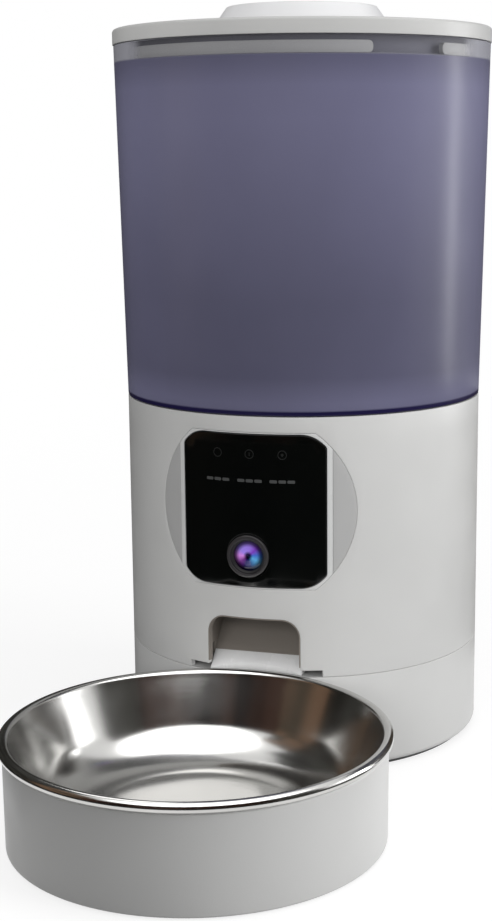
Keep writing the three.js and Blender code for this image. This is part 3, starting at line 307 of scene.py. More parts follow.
class Sketch:
    """Mesh in the making, in millimetres."""

    def __init__(self) -> None:
        """Starts with no faces."""
        self.mesh = bmesh.new()

    def net(self, rows: Sequence[Sequence[Vector]], around: bool = False, onward: bool = False) -> "Sketch":
        """Joins rows of equally many points with four-sided faces.

        Args:
            rows: The rows of points.
            around: Whether each row's end joins its start.
            onward: Whether the last row joins the first.

        Returns:
            This sketch.
        """
        made = [[self.mesh.verts.new(point) for point in row] for row in rows]
        pairs = list(zip(made, made[1:])) + ([(made[-1], made[0])] if onward else [])
        for low, high in pairs:
            for i in range(len(low) if around else len(low) - 1):
                k = (i + 1) % len(low)
                self.mesh.faces.new((low[i], low[k], high[k], high[i]))
        return self

    def lathe(self, profile: Sequence[Point], centre: float, segments: int = SEGMENTS) -> "Sketch":
        """Turns a closed profile about an upright axis.

        Args:
            profile: Points as radius and level.
            centre: Depth of the axis.
            segments: Number of flats round the axis.

        Returns:
            This sketch.
        """
        rows = []
        for i in range(segments):
            angle = 2 * math.pi * i / segments
            sine, cosine = math.sin(angle), math.cos(angle)
            rows.append([Vector((r * sine, centre - r * cosine, z)) for r, z in profile])
        return self.net(rows, around=True, onward=True).tidy()

    def prism(self, outline: Sequence[Point], low: float, high: float, place: Place) -> "Sketch":
        """Stands a closed outline up between two depths of a place.

        Args:
            outline: The outline.
            low: Depth of one end.
            high: Depth of the other.
            place: Turns a drawing's point and depth into a place.

        Returns:
            This sketch.
        """
        ends = [[self.mesh.verts.new(place(x, y, depth)) for x, y in outline] for depth in (low, high)]
        for i in range(len(outline)):
            k = (i + 1) % len(outline)
            self.mesh.faces.new((ends[0][i], ends[0][k], ends[1][k], ends[1][i]))
        self.mesh.faces.new(reversed(ends[0]))
        self.mesh.faces.new(ends[1])
        return self.tidy()

    def fill(self, loops: Sequence[Sequence[Point]], place: Place, depth: float, step: Point) -> "Sketch":
        """Fills the region between loops with an even net of triangles.

        Args:
            loops: The region's closed outlines.
            place: Turns a drawing's point and depth into a place.
            depth: Depth of the skin.
            step: Spacing of the net across and up.

        Returns:
            This sketch.
        """
        stretch = step[0] / step[1]
        scaled = [[(x, y * stretch) for x, y in loop] for loop in loops]
        ends = np.array([point for loop in scaled for point in loop])
        edges, first = [], 0
        for loop in scaled:
            edges += [(first + i, first + (i + 1) % len(loop)) for i in range(len(loop))]
            first += len(loop)
        low, high = ends.min(0), ends.max(0)
        net = np.stack(np.meshgrid(*[np.arange(low[k] + step[0], high[k], step[0]) for k in (0, 1)]), -1)
        net = net.reshape(-1, 2)
        net = net[inside(net, scaled)]
        if len(net):
            near = np.array([np.abs(ends - spot).max(1).min() for spot in net])
            net = net[near > 0.55 * step[0]]
        spots = [Vector(p) for p in ends.tolist() + net.tolist()]
        points, _, faces = delaunay_2d_cdt(spots, edges, [], 0, 1e-6)[:3]
        flat = np.array([p[:] for p in points])
        keep = inside(np.array([flat[list(f)].mean(0) for f in faces]), scaled)
        made = [self.mesh.verts.new(place(x, y / stretch, depth)) for x, y in flat]
        for face, kept in zip(faces, keep):
            if kept:
                self.mesh.faces.new([made[i] for i in face])
        return self

    def rim(self, loop: Sequence[Point], place: Place, radius: float, depth: float, closed: bool = True,
            foot: float = 0.0) -> "Sketch":
        """Makes the rounded edge along a loop and the wall under it.

        Args:
            loop: The outline, with its material on the left.
            place: Turns a drawing's point and depth into a place.
            radius: Radius of the rounded edge.
            depth: Depth of the wall's foot.
            closed: Whether the loop joins itself.
            foot: Radius that rounds the wall into a floor, where it has one.

        Returns:
            This sketch.
        """
        turns = [math.radians(90 * k / ROUND_STEPS) for k in range(ROUND_STEPS + 1)]
        steps = [(radius * (1 - math.sin(a)), radius * (1 - math.cos(a))) for a in turns]
        if foot:
            steps += [(-foot * (1 - math.cos(a)), depth - foot * (1 - math.sin(a))) for a in turns]
        else:
            steps.append((0.0, depth))
        rows = [[place(x, y, down) for x, y in shifted(loop, over, closed)] for over, down in steps]
        return self.net(rows, around=closed)

    def tidy(self) -> "Sketch":
        """Merges points that meet, drops empty faces and turns all faces outwards.

        Returns:
            This sketch.
        """
        bmesh.ops.remove_doubles(self.mesh, verts=self.mesh.verts, dist=1e-4)
        bmesh.ops.dissolve_degenerate(self.mesh, edges=self.mesh.edges, dist=1e-5)
        loose = [v for v in self.mesh.verts if not v.link_faces]
        bmesh.ops.delete(self.mesh, geom=loose, context="VERTS")
        bmesh.ops.recalc_face_normals(self.mesh, faces=self.mesh.faces)
        return self

    def moved(self, matrix: Matrix) -> "Sketch":
        """Moves the whole sketch by a matrix."""
        self.mesh.transform(matrix)
        return self

    def data(self, name: str) -> bpy.types.Mesh:
        """Copies the sketch to a mesh.

        Args:
            name: The mesh's name.

        Returns:
            The mesh.
        """
        made = bpy.data.meshes.new(name)
        self.mesh.to_mesh(made)
        return made

    def add(self, other: "Sketch") -> "Sketch":
        """Takes over another sketch's faces as they are.

        Args:
            other: The other sketch.

        Returns:
            This sketch.
        """
        scrap = other.data("scrap")
        self.mesh.from_mesh(scrap)
        bpy.data.meshes.remove(scrap)
        return self

    def join(self, other: "Sketch", way: Join = Join.CUT) -> "Sketch":
        """Combines this solid with another one.

        Args:
            other: The other solid.
            way: Whether it is cut away, added, or kept where both are.

        Returns:
            This sketch.
        """
        holders = [placed(name, sketch.data(name)) for name, sketch in (("kept", self), ("tool", other))]
        change = holders[0].modifiers.new("join", "BOOLEAN")
        change.operation, change.solver, change.object = way.value, "MANIFOLD", holders[1]
        seen = holders[0].evaluated_get(bpy.context.evaluated_depsgraph_get())
        self.mesh.free()
        self.mesh = bmesh.new()
        self.mesh.from_mesh(seen.data)
        for holder in holders:
            data = holder.data
            bpy.data.objects.remove(holder)
            bpy.data.meshes.remove(data)
        return self

    def piece(self, name: str, finish: "Finish", body: Body, nodes: Sequence[str] = (), sharp: float = 32.0,
              bevel: float = 0.0, bevel_angle: float = 40.0) -> bpy.types.Object:
        """Turns the sketch into a piece of the feeder.

        Args:
            name: The piece's name.
            finish: What it is made of.
            body: The body that it rides on.
            nodes: The CAD nodes that it stands for.
            sharp: Least angle in degrees of an edge that stays sharp.
            bevel: Width of a bevel along sharp edges, in millimetres.
            bevel_angle: Least angle of an edge that the bevel takes.

        Returns:
            The new object.
        """
        if bevel:
            edges = [e for e in self.mesh.edges if len(e.link_faces) == 2
                     and e.calc_face_angle(0) > math.radians(bevel_angle)]
            bmesh.ops.bevel(self.mesh, geom=edges, offset=bevel, segments=2, profile=0.5, affect="EDGES",
                            clamp_overlap=True)
        self.mesh.transform(Matrix.Scale(MM, 4))
        data = self.data(name)
        self.mesh.free()
        data.polygons.foreach_set("use_smooth", [True] * len(data.polygons))
        data.set_sharp_from_angle(angle=math.radians(sharp))
        data.materials.append(finish.material())
        thing = placed(name, data)
        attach(thing, body.value)
        if nodes:
            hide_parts(*nodes)
        log.info("piece %s: %d faces on %s", name, len(data.polygons), body.value)
        return thing


def plate(loops: Sequence[Sequence[Point]], place: Place, depth: float, edge: float, step: Point) -> Sketch:
    """Makes a plate with rounded front edges, with holes if there is more than one loop.

    Args:
        loops: The outside first, then the holes.
        place: Turns a drawing's point and depth into a place.
        depth: Thickness of the plate.
        edge: Radius of its front edges.
        step: Spacing of its skins' net.

    Returns:
        The plate's sketch.
    """
    ready = [facing(dense(loop, step), hole=i > 0) for i, loop in enumerate(loops)]
    made = Sketch()
    for loop in ready:
        made.rim(loop, place, edge, depth)
    made.fill([shifted(loop, edge) for loop in ready], place, 0.0, step)
    return made.fill(ready, place, depth, step).tidy()


def block(low: Sequence[float], high: Sequence[float]) -> Sketch:
    """Makes a box between two corners, to cut with."""
    outline = rounded(oblong(low[0], high[0], low[1], high[1]))
    return Sketch().prism(outline, -high[2], -low[2], Level(0.0, 0.0))


def drum(radius: float, low: float, high: float, centre: float, segments: int = SEGMENTS,
         edges: Point = (0.0, 0.0)) -> Sketch:
    """Makes an upright cylinder between two levels, with the radii of its lower and upper edges."""
    profile = [(0.0, low), (radius, low), (radius, high), (0.0, high)]
    return Sketch().lathe(edged(profile, (0.0, *edges, 0.0)), centre, segments)


# --------- finishes


def tint(colour: Colour, share: float = 1.0) -> tuple[float, float, float, float]:
    """Returns a colour made lighter or darker by a share of itself."""
    return tuple(min(1.0, c * share) for c in colour) + (1.0,)


class Graph:
    """Node tree that works out a look."""

    def __init__(self, tree: bpy.types.NodeTree) -> None:
        """Takes up the tree that its nodes go into."""
        self.tree = tree

    def node(self, kind: str, settings: Optional[dict] = None, **inputs: object) -> bpy.types.Node:
        """Adds a node.

        Args:
            kind: Its type.
            settings: Its own properties.
            **inputs: Values or sockets for its inputs, named as for plug.

        Returns:
            The node.
        """
        made = self.tree.nodes.new(kind)
        for key, value in (settings or {}).items():
            setattr(made, key, value)
        for key, value in inputs.items():
            self.plug(made, key, value)
        return made

    def plug(self, node: bpy.types.Node, name: str, value: object) -> None:
        """Sets an input of a node, or links it to a socket.

        Args:
            node: The node.
            name: The input's name with _ for a space, or i and its number.
            value: The value or socket.
        """
        numbered = name[0] == "i" and name[1:].isdigit()
        socket = node.inputs[int(name[1:]) if numbered else name.replace("_", " ")]
        if isinstance(value, Socket):
            self.tree.links.new(value, socket)
        else:
            socket.default_value = value

    def maths(self, operation: str, *values: object) -> Socket:
        """Works a number out of other numbers or sockets."""
        inputs = {f"i{k}": value for k, value in enumerate(values)}
        return self.node("ShaderNodeMath", {"operation": operation}, **inputs).outputs[0]

    def span(self, value: Socket, low: float, high: float, start: float = 0.3, end: float = 0.7) -> Socket:
        """Maps a value between start and end onto the span from low to high."""
        return self.node("ShaderNodeMapRange", i0=value, i1=start, i2=end, i3=low, i4=high).outputs[0]

    def mix(self, share: Socket, first: object, second: object) -> Socket:
        """Blends two numbers. The share is how much of the second one counts."""
        return self.node("ShaderNodeMix", i0=share, i2=first, i3=second).outputs[0]

    def blend(self, share: object, first: object, second: object, way: str = "MIX") -> Socket:
        """Blends two colours. The share is how much of the second one shows."""
        settings = {"data_type": "RGBA", "blend_type": way}
        return self.node("ShaderNodeMix", settings, i0=share, i6=first, i7=second).outputs[2]

    def reach(self, spot: Socket) -> Socket:
        """Returns how far a spot is from the origin."""
        return self.node("ShaderNodeVectorMath", {"operation": "LENGTH"}, i0=spot).outputs["Value"]

    def seen(self) -> Socket:
        """Tells rays from the camera, gloss and glass from those that light matt surfaces.

        Returns:
            1 for the first kind, and 0 for the second.
        """
        path = self.node("ShaderNodeLightPath")
        value = path.outputs["Is Camera Ray"]
        for name in ("Is Glossy Ray", "Is Transmission Ray"):
            value = self.maths("MAXIMUM", value, path.outputs[name])
        return value


class Shader(Graph):
    """Node tree of one material, with its main shader."""

    def __init__(self, name: str) -> None:
        """Starts a material.

        Args:
            name: The material's name.
        """
        self.material = bpy.data.materials.new(name)
        self.material.use_nodes = True
        super().__init__(self.material.node_tree)
        self.main = self.tree.nodes["Principled BSDF"]
        self.object = self.node("ShaderNodeTexCoord").outputs["Object"]

    def set(self, **inputs: object) -> None:
        """Sets inputs of the main shader, named as for plug."""
        for key, value in inputs.items():
            self.plug(self.main, key, value)

    def along(self, axis: int) -> Socket:
        """Returns a spot's place along one of the object's own axes, in metres."""
        return self.node("ShaderNodeSeparateXYZ", i0=self.object).outputs[axis]

    def noise(self, scale: float, detail: float = 3.0, rough: float = 0.5,
              stretch: Corner = (1.0, 1.0, 1.0)) -> Socket:
        """Makes noise in the object's own space.

        Args:
            scale: Features in each metre.
            detail: Number of finer layers.
            rough: Strength of the finer layers.
            stretch: Scale along each axis.

        Returns:
            Its value, about 0.5.
        """
        spot = self.node("ShaderNodeMapping", Vector=self.object, Scale=stretch).outputs[0]
        made = self.node("ShaderNodeTexNoise", Vector=spot, Scale=scale, Detail=detail, Roughness=rough)
        return made.outputs[0]

    def mottled(self, value: Socket, colour: Colour, shares: Point) -> Socket:
        """Lets a colour change with a value, between two shares of itself."""
        return self.blend(self.span(value, 0.0, 1.0), tint(colour, shares[0]), tint(colour, shares[1]))

    def uneven(self, value: Socket, rough: float, shares: Point) -> None:
        """Lets the roughness change with a value, between two shares of itself."""
        self.set(Roughness=self.span(value, rough * shares[0], rough * shares[1]))

    def stops(self, value: Socket, colours: Sequence[tuple[float, Colour]]) -> Socket:
        """Makes a ramp of colours.

        Args:
            value: What drives it.
            colours: Place and colour of each stop.

        Returns:
            Its colour.
        """
        ramp = self.node("ShaderNodeValToRGB", i0=value)
        band = ramp.color_ramp
        while len(band.elements) < len(colours):
            band.elements.new(0.5)
        for stop, (place, colour) in zip(band.elements, colours):
            stop.position, stop.color = place, tint(colour)
        return ramp.outputs[0]

    def bump(self, height: Socket, strength: float, distance: float = 0.0002) -> None:
        """Makes a height show as bumps of a strength and a depth in metres."""
        made = self.node("ShaderNodeBump", Height=height, Strength=strength, Distance=distance)
        self.set(Normal=made.outputs[0])

    def edges(self) -> Socket:
        """Returns how sharp an outer edge a spot lies on, from 0 to 1."""
        return self.span(self.node("ShaderNodeNewGeometry").outputs["Pointiness"], 0.0, 1.0, 0.515, 0.6)


@dataclass(frozen=True)
class Finish:
    """What a piece is made of. A finish makes its material once."""

    name: str
    slot: str
    colour: Colour

    def material(self) -> bpy.types.Material:
        """Gives the finish's material, made at its first use.

        Returns:
            The material.
        """
        if self.name not in MADE:
            shader = Shader(self.name)
            self.dress(shader)
            MADE[self.name] = shader.material
        return MADE[self.name]

    def dress(self, shader: Shader) -> None:
        """Sets up the shader."""
        raise NotImplementedError


@dataclass(frozen=True)
class Moulded(Finish):
    """Moulded plastic or rubber with a fine texture."""

    rough: float = 0.42
    spread: float = 0.05
    smears: float = 55.0
    grain: float = 1500.0
    grain_depth: float = 0.12
    patches: float = 14.0
    mottle: float = 0.03
    shine: float = 0.5
    edge_lift: float = 0.06
    lighter_edge: float = 1.35

    def dress(self, shader: Shader) -> None:
        """Adds mottled colour, lighter edges, uneven gloss and a fine grain.

        Args:
            shader: The shader to set up.
        """
        broad, fine = shader.noise(self.patches), shader.noise(self.grain, 2.0)
        body = shader.mottled(broad, self.colour, (1 - self.mottle, 1 + self.mottle))
        # sharp outer edges turn lighter
        lighter_edge = shader.span(shader.edges(), 0.0, self.edge_lift, 0.0, 1.0)
        low, high = self.rough - self.spread, self.rough + self.spread
        shader.set(Base_Color=shader.blend(lighter_edge, body, tint(self.colour, self.lighter_edge)),
                   Specular_IOR_Level=self.shine, Roughness=shader.span(shader.noise(self.smears), low, high))
        shader.bump(fine, self.grain_depth)


@dataclass(frozen=True)
class Gloss(Finish):
    """Polished plastic with faint smears."""

    rough: float = 0.1
    rough_shares: Point = (0.7, 1.6)
    tones: Point = (0.9, 1.12)
    coat: float = 0.6
    coat_rough: float = 0.05
    smears: float = 30.0
    waves: float = 90.0

    def dress(self, shader: Shader) -> None:
        """Adds a clear coat, faint smears and a slight wave.

        Args:
            shader: The shader to set up.
        """
        smears = shader.noise(self.smears, 5.0, 0.6, (1.0, 1.0, 0.4))
        shader.set(Base_Color=shader.mottled(smears, self.colour, self.tones), Coat_Weight=self.coat,
                   Coat_Roughness=self.coat_rough)
        shader.uneven(smears, self.rough, self.rough_shares)
        shader.bump(shader.noise(self.waves, 1.0), 0.02)


@dataclass(frozen=True)
class Smoked(Finish):
    """Tinted plastic of the tank: a frosted wall, a clear rim that the lid's lock shows through, and a foot
    painted dark as the shade in its joint with the tower.

    Levels are in metres. Painted light and shade change the wall's tone by level: lighter towards the top, a
    painted glow of the pale well just above the foot, and painted shade just under the clear rim. Each has
    its amount and the levels where it is whole and where it ends.
    """

    rough: float = 0.3
    spread: float = 0.02
    frosted: float = 0.82
    frosted_edge: Point = (0.35, 0.72)
    clear: float = 0.1
    clear_edge: Point = (0.5, 0.64)
    rim_colour: Colour = (0.34, 0.34, 0.38)
    rim_levels: Point = (0.3497, 0.3507)
    foot_shade_colour: Colour = (0.012, 0.009, 0.05)
    foot_shade_levels: Point = (0.1824, 0.1833)
    foot_opacity: float = 0.97
    tones: Point = (0.84, 1.6)
    cloud: float = 0.3
    painted_light_and_shade: tuple[Corner, ...] = ((0.62, 0.32, 0.235), (0.5, 0.1867, 0.1987), (-0.62, 0.351, 0.336))

    def dress(self, shader: Shader) -> None:
        """Adds a cloudy tint, paints light and shade on it by level, paints the foot dark as shade, and
        closes the wall where it is seen edge on.

        Args:
            shader: The shader to set up.
        """
        level = shader.along(2)
        frost = shader.span(level, 1.0, 0.0, *self.rim_levels)
        # painted shade: the foot turns dark and nearly solid where the joint with the tower shades it
        foot = shader.span(level, 1.0, 0.0, *self.foot_shade_levels)
        cloud = shader.noise(9.0, 4.0, 0.5, (1.0, 1.0, 0.8))
        share = shader.maths("MULTIPLY", shader.span(cloud, 0.0, 1.0), self.cloud)
        # painted light and shade: each band lightens or darkens the tint between two levels
        for amount, whole, end in self.painted_light_and_shade:
            share = shader.maths("ADD", share, shader.span(level, amount, 0.0, whole, end))
        wall = shader.blend(share, *(tint(self.colour, tone) for tone in self.tones))
        wall = shader.blend(frost, tint(self.rim_colour), wall)
        facing_share = shader.node("ShaderNodeLayerWeight", Blend=0.5).outputs["Facing"]
        frosted = shader.span(facing_share, self.frosted, 1.0, *self.frosted_edge)
        clear = shader.span(facing_share, self.clear, 1.0, *self.clear_edge)
        opacity = shader.mix(foot, shader.mix(frost, clear, frosted), self.foot_opacity)
        low, high = self.rough - self.spread, self.rough + self.spread
        shader.set(Base_Color=shader.blend(foot, wall, tint(self.foot_shade_colour)), Alpha=opacity, IOR=1.45,
                   Specular_IOR_Level=0.4, Roughness=shader.span(shader.noise(25.0), low, high, 0.2, 0.8))
        shader.bump(shader.noise(300.0, 2.0), 0.02)


@dataclass(frozen=True)
class Metal(Finish):
    """Bare metal with fine marks."""

    rough: float = 0.3
    rough_shares: Point = (0.8, 1.25)
    tones: Point = (0.93, 1.05)
    marks: float = 0.15

    def dress(self, shader: Shader) -> None:
        """Adds brushed marks, stains and uneven gloss.

        Args:
            shader: The shader to set up.
        """
        fine, broad = shader.noise(420.0, 4.0, 0.6), shader.noise(40.0)
        shader.set(Metallic=1.0, Base_Color=shader.mottled(broad, self.colour, self.tones))
        shader.uneven(broad, self.rough, self.rough_shares)
        shader.bump(fine, self.marks, 0.0001)


@dataclass(frozen=True)
class Spun(Finish):
    """Polished sheet steel spun into a bowl, with rings about its axis and a base painted darker, as painted
    shade that dims its reflections.
    """

    rough: float = 0.155
    rough_shares: Point = (0.8, 1.3)
    tones: Point = (0.92, 1.06)
    centre: Point = (0.0, 0.0)
    # painted shade: share of the steel's colour left on the darkened base
    base: float = 0.62
    dimmed_base_radii: Point = (0.038, 0.052)
    rings: float = 260.0

    def dress(self, shader: Shader) -> None:
        """Adds rings of fine marks, soft stains, a base painted darker as painted shade on its reflections,
        and a gloss that changes round the bowl.

        Args:
            shader: The shader to set up.
        """
        place = (-self.centre[0], -self.centre[1], 0.0)
        spot = shader.node("ShaderNodeMapping", Vector=shader.object, Location=place).outputs[0]
        rings = shader.node("ShaderNodeTexWave", {"wave_type": "RINGS", "rings_direction": "Z"}, Vector=spot,
                            Scale=self.rings, Distortion=1.5, Detail=2.0, Detail_Scale=3.0).outputs[1]
        stains = shader.noise(26.0)
        flat = shader.node("ShaderNodeVectorMath", {"operation": "MULTIPLY"}, i0=spot, i1=(1.0, 1.0, 0.0))
        # painted shade: the flat base is darker to dim the reflections that show in it
        share = shader.span(shader.reach(flat.outputs[0]), 0.0, 1.0, *self.dimmed_base_radii)
        steel = shader.mottled(stains, self.colour, self.tones)
        shader.set(Metallic=1.0, Anisotropic=0.35,
                   Base_Color=shader.blend(share, tint(self.colour, self.base), steel))
        shader.uneven(stains, self.rough, self.rough_shares)
        shader.bump(rings, 0.012, 0.0001)


@dataclass(frozen=True)
class Coated(Finish):
    """Coated glass of the lens, with the coating's reflections painted on: violet above, pink to the left,
    blue to the right, a pupil and edge painted dark as shade, and a faint painted glow.
    """

    centre: Point = (0.0, 0.0)
    radius: float = 0.0075
    coat_reflections: tuple[tuple[float, Colour], ...] = (
        (0.0, (0.62, 0.24, 0.74)), (0.1, (0.17, 0.04, 0.24)), (0.2, (0.01, 0.005, 0.11)),
        (0.28, (0.01, 0.02, 0.14)), (0.35, (0.06, 0.2, 0.42)), (0.43, (0.11, 0.4, 0.7)),
        (0.52, (0.06, 0.16, 0.6)), (0.61, (0.2, 0.05, 0.52)), (0.72, (0.3, 0.18, 0.72)),
        (0.9, (0.32, 0.22, 0.78)), (1.0, (0.62, 0.24, 0.74)))
    # painted shade: the pupil's middle and the lens's edge go dark
    pupil: tuple[tuple[float, Colour], ...] = (
        (0.0, (0.03, 0.03, 0.05)), (0.14, (0.06, 0.06, 0.08)), (0.32, (0.95, 0.95, 0.95)),
        (0.58, (0.9, 0.9, 0.9)), (0.8, (0.16, 0.16, 0.16)), (1.0, (0.01, 0.01, 0.01)))

    def dress(self, shader: Shader) -> None:
        """Paints the coating's reflections and the pupil's shade by angle and distance about the lens's axis,
        and lets them glow faintly.

        Args:
            shader: The shader to set up.
        """
        across = shader.maths("SUBTRACT", shader.along(0), self.centre[0])
        up = shader.maths("SUBTRACT", shader.along(2), self.centre[1])
        turn = shader.span(shader.maths("ARCTAN2", up, across), 0.0, 1.0, -math.pi, math.pi)
        flat = shader.node("ShaderNodeCombineXYZ", i0=across, i1=up).outputs[0]
        share = shader.span(shader.reach(flat), 0.0, 1.0, 0.0, self.radius)
        painted_coat = shader.blend(1.0, shader.stops(turn, self.coat_reflections), shader.stops(share, self.pupil), "MULTIPLY")
        # painted glow: the lens gives off a little of its painted colour though it is no lamp
        shader.set(Base_Color=painted_coat, Roughness=shader.span(shader.noise(300.0), 0.06, 0.12), Coat_Weight=0.25,
                   Coat_Roughness=0.04, Specular_IOR_Level=0.3, Emission_Color=painted_coat, Emission_Strength=0.35)


@dataclass(frozen=True)
class Banded(Finish):
    """Wrap of a cell: one end in another colour, with a soft line between."""

    other: Colour = (0.02, 0.02, 0.02)
    border: float = 0.0
    softness: float = 0.0002

    def dress(self, shader: Shader) -> None:
        """Splits the colour along the cell and adds a film's gloss.

        Args:
            shader: The shader to set up.
        """
        low, high = self.border - self.softness, self.border + self.softness
        share = shader.span(shader.along(1), 0.0, 1.0, low, high)
        shader.set(Base_Color=shader.blend(share, tint(self.other), tint(self.colour)), Coat_Weight=0.3,
                   Roughness=shader.span(shader.noise(80.0), 0.25, 0.4))
        shader.bump(shader.noise(200.0), 0.03)


TOWER_LOW, TOWER_HIGH = (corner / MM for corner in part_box("upper_housing"))
TOWER = (TOWER_LOW.y + TOWER_HIGH.y) / 2
BOWL_LOW, BOWL_HIGH = (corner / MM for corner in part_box("steel_bowl"))
DISH = (BOWL_LOW.y + BOWL_HIGH.y) / 2

WHITE = Moulded("shell_satin", "white_plastic", (0.64, 0.64, 0.632), rough=0.4)
# painted shade: a darker copy of the shell's white for the lid, which the lamps light more
SHADED_LID_WHITE = Moulded("lid_white_shaded", "white_plastic", (0.56, 0.56, 0.552), rough=0.4)
# painted light: a lighter copy of the shell's white for the holder, which the fill lamp spares
LIT_HOLDER_WHITE = Moulded("holder_white_lit", "white_plastic", (0.71, 0.71, 0.702), rough=0.4)
SNOW = Moulded("knob_satin", "white_plastic", (0.78, 0.78, 0.79), rough=0.35)
INNER = Moulded("inner_satin", "inner_white", (0.6, 0.6, 0.59), rough=0.5, grain=900.0)
LOCK = Moulded("lock_satin", "inner_white", (0.46, 0.46, 0.465), rough=0.45)
CUP = Moulded("cup_satin", "inner_white", (0.15, 0.15, 0.19), rough=0.45)
GREY = Moulded("segment_satin", "trim_plastic", (0.47, 0.47, 0.468), rough=0.35)
FRAME = Moulded("frame_satin", "trim_plastic", (0.68, 0.685, 0.68), rough=0.3)
BLACK = Gloss("panel_gloss", "black_gloss", (0.0016, 0.0022, 0.002), rough=0.12, coat=0.0)
LIP = Gloss("lip_gloss", "lip_plastic", (0.9, 0.9, 0.9), rough=0.22, coat=0.3)
CHUTE = Moulded("chute_matt", "chute_plastic", (0.24, 0.215, 0.19), rough=0.55)
RING = Gloss("ring_gloss", "ring_plastic", (0.042, 0.04, 0.042), rough=0.25, coat=0.3)
# painted reflections, shade and glow of the lens's coating
LENS = Coated("lens_coating", "lens_glass", (0.3, 0.2, 0.8))
DARK = Moulded("dark_moulding", "black_plastic", (0.022, 0.022, 0.023), rough=0.5)
MARK = Moulded("key_print", "black_gloss", (0.07, 0.073, 0.073), rough=0.4)
ICON = Moulded("icon_print", "black_gloss", (0.014, 0.015, 0.015), rough=0.4)
BOARD = Moulded("board_lacquer", "board", (0.02, 0.11, 0.05), rough=0.3, grain=600.0, mottle=0.18)
STEEL = Metal("plated_metal", "motor_steel", (0.55, 0.55, 0.53), rough=0.32)
SCREW = Metal("screw_zinc", "screw_steel", (0.5, 0.5, 0.49), rough=0.35)
CELL = Banded("cell_film", "cell_wrap", (0.32, 0.19, 0.04), border=0.109)
RUBBER = Moulded("foot_rubber", "rubber", (0.08, 0.08, 0.08), rough=0.75, grain=900.0, grain_depth=0.3,
                 shine=0.3)
VANE = Moulded("rotor_moulding", "rotor_plastic", (0.11, 0.125, 0.14), rough=0.5)
SMOKE = Smoked("tank_smoked", "tank_plastic", (0.128, 0.126, 0.2))
SPUN = Spun("bowl_spun", "bowl_steel", (0.62, 0.615, 0.6), centre=(0.0, DISH * MM))


# --------- the feeder's sub-assemblies


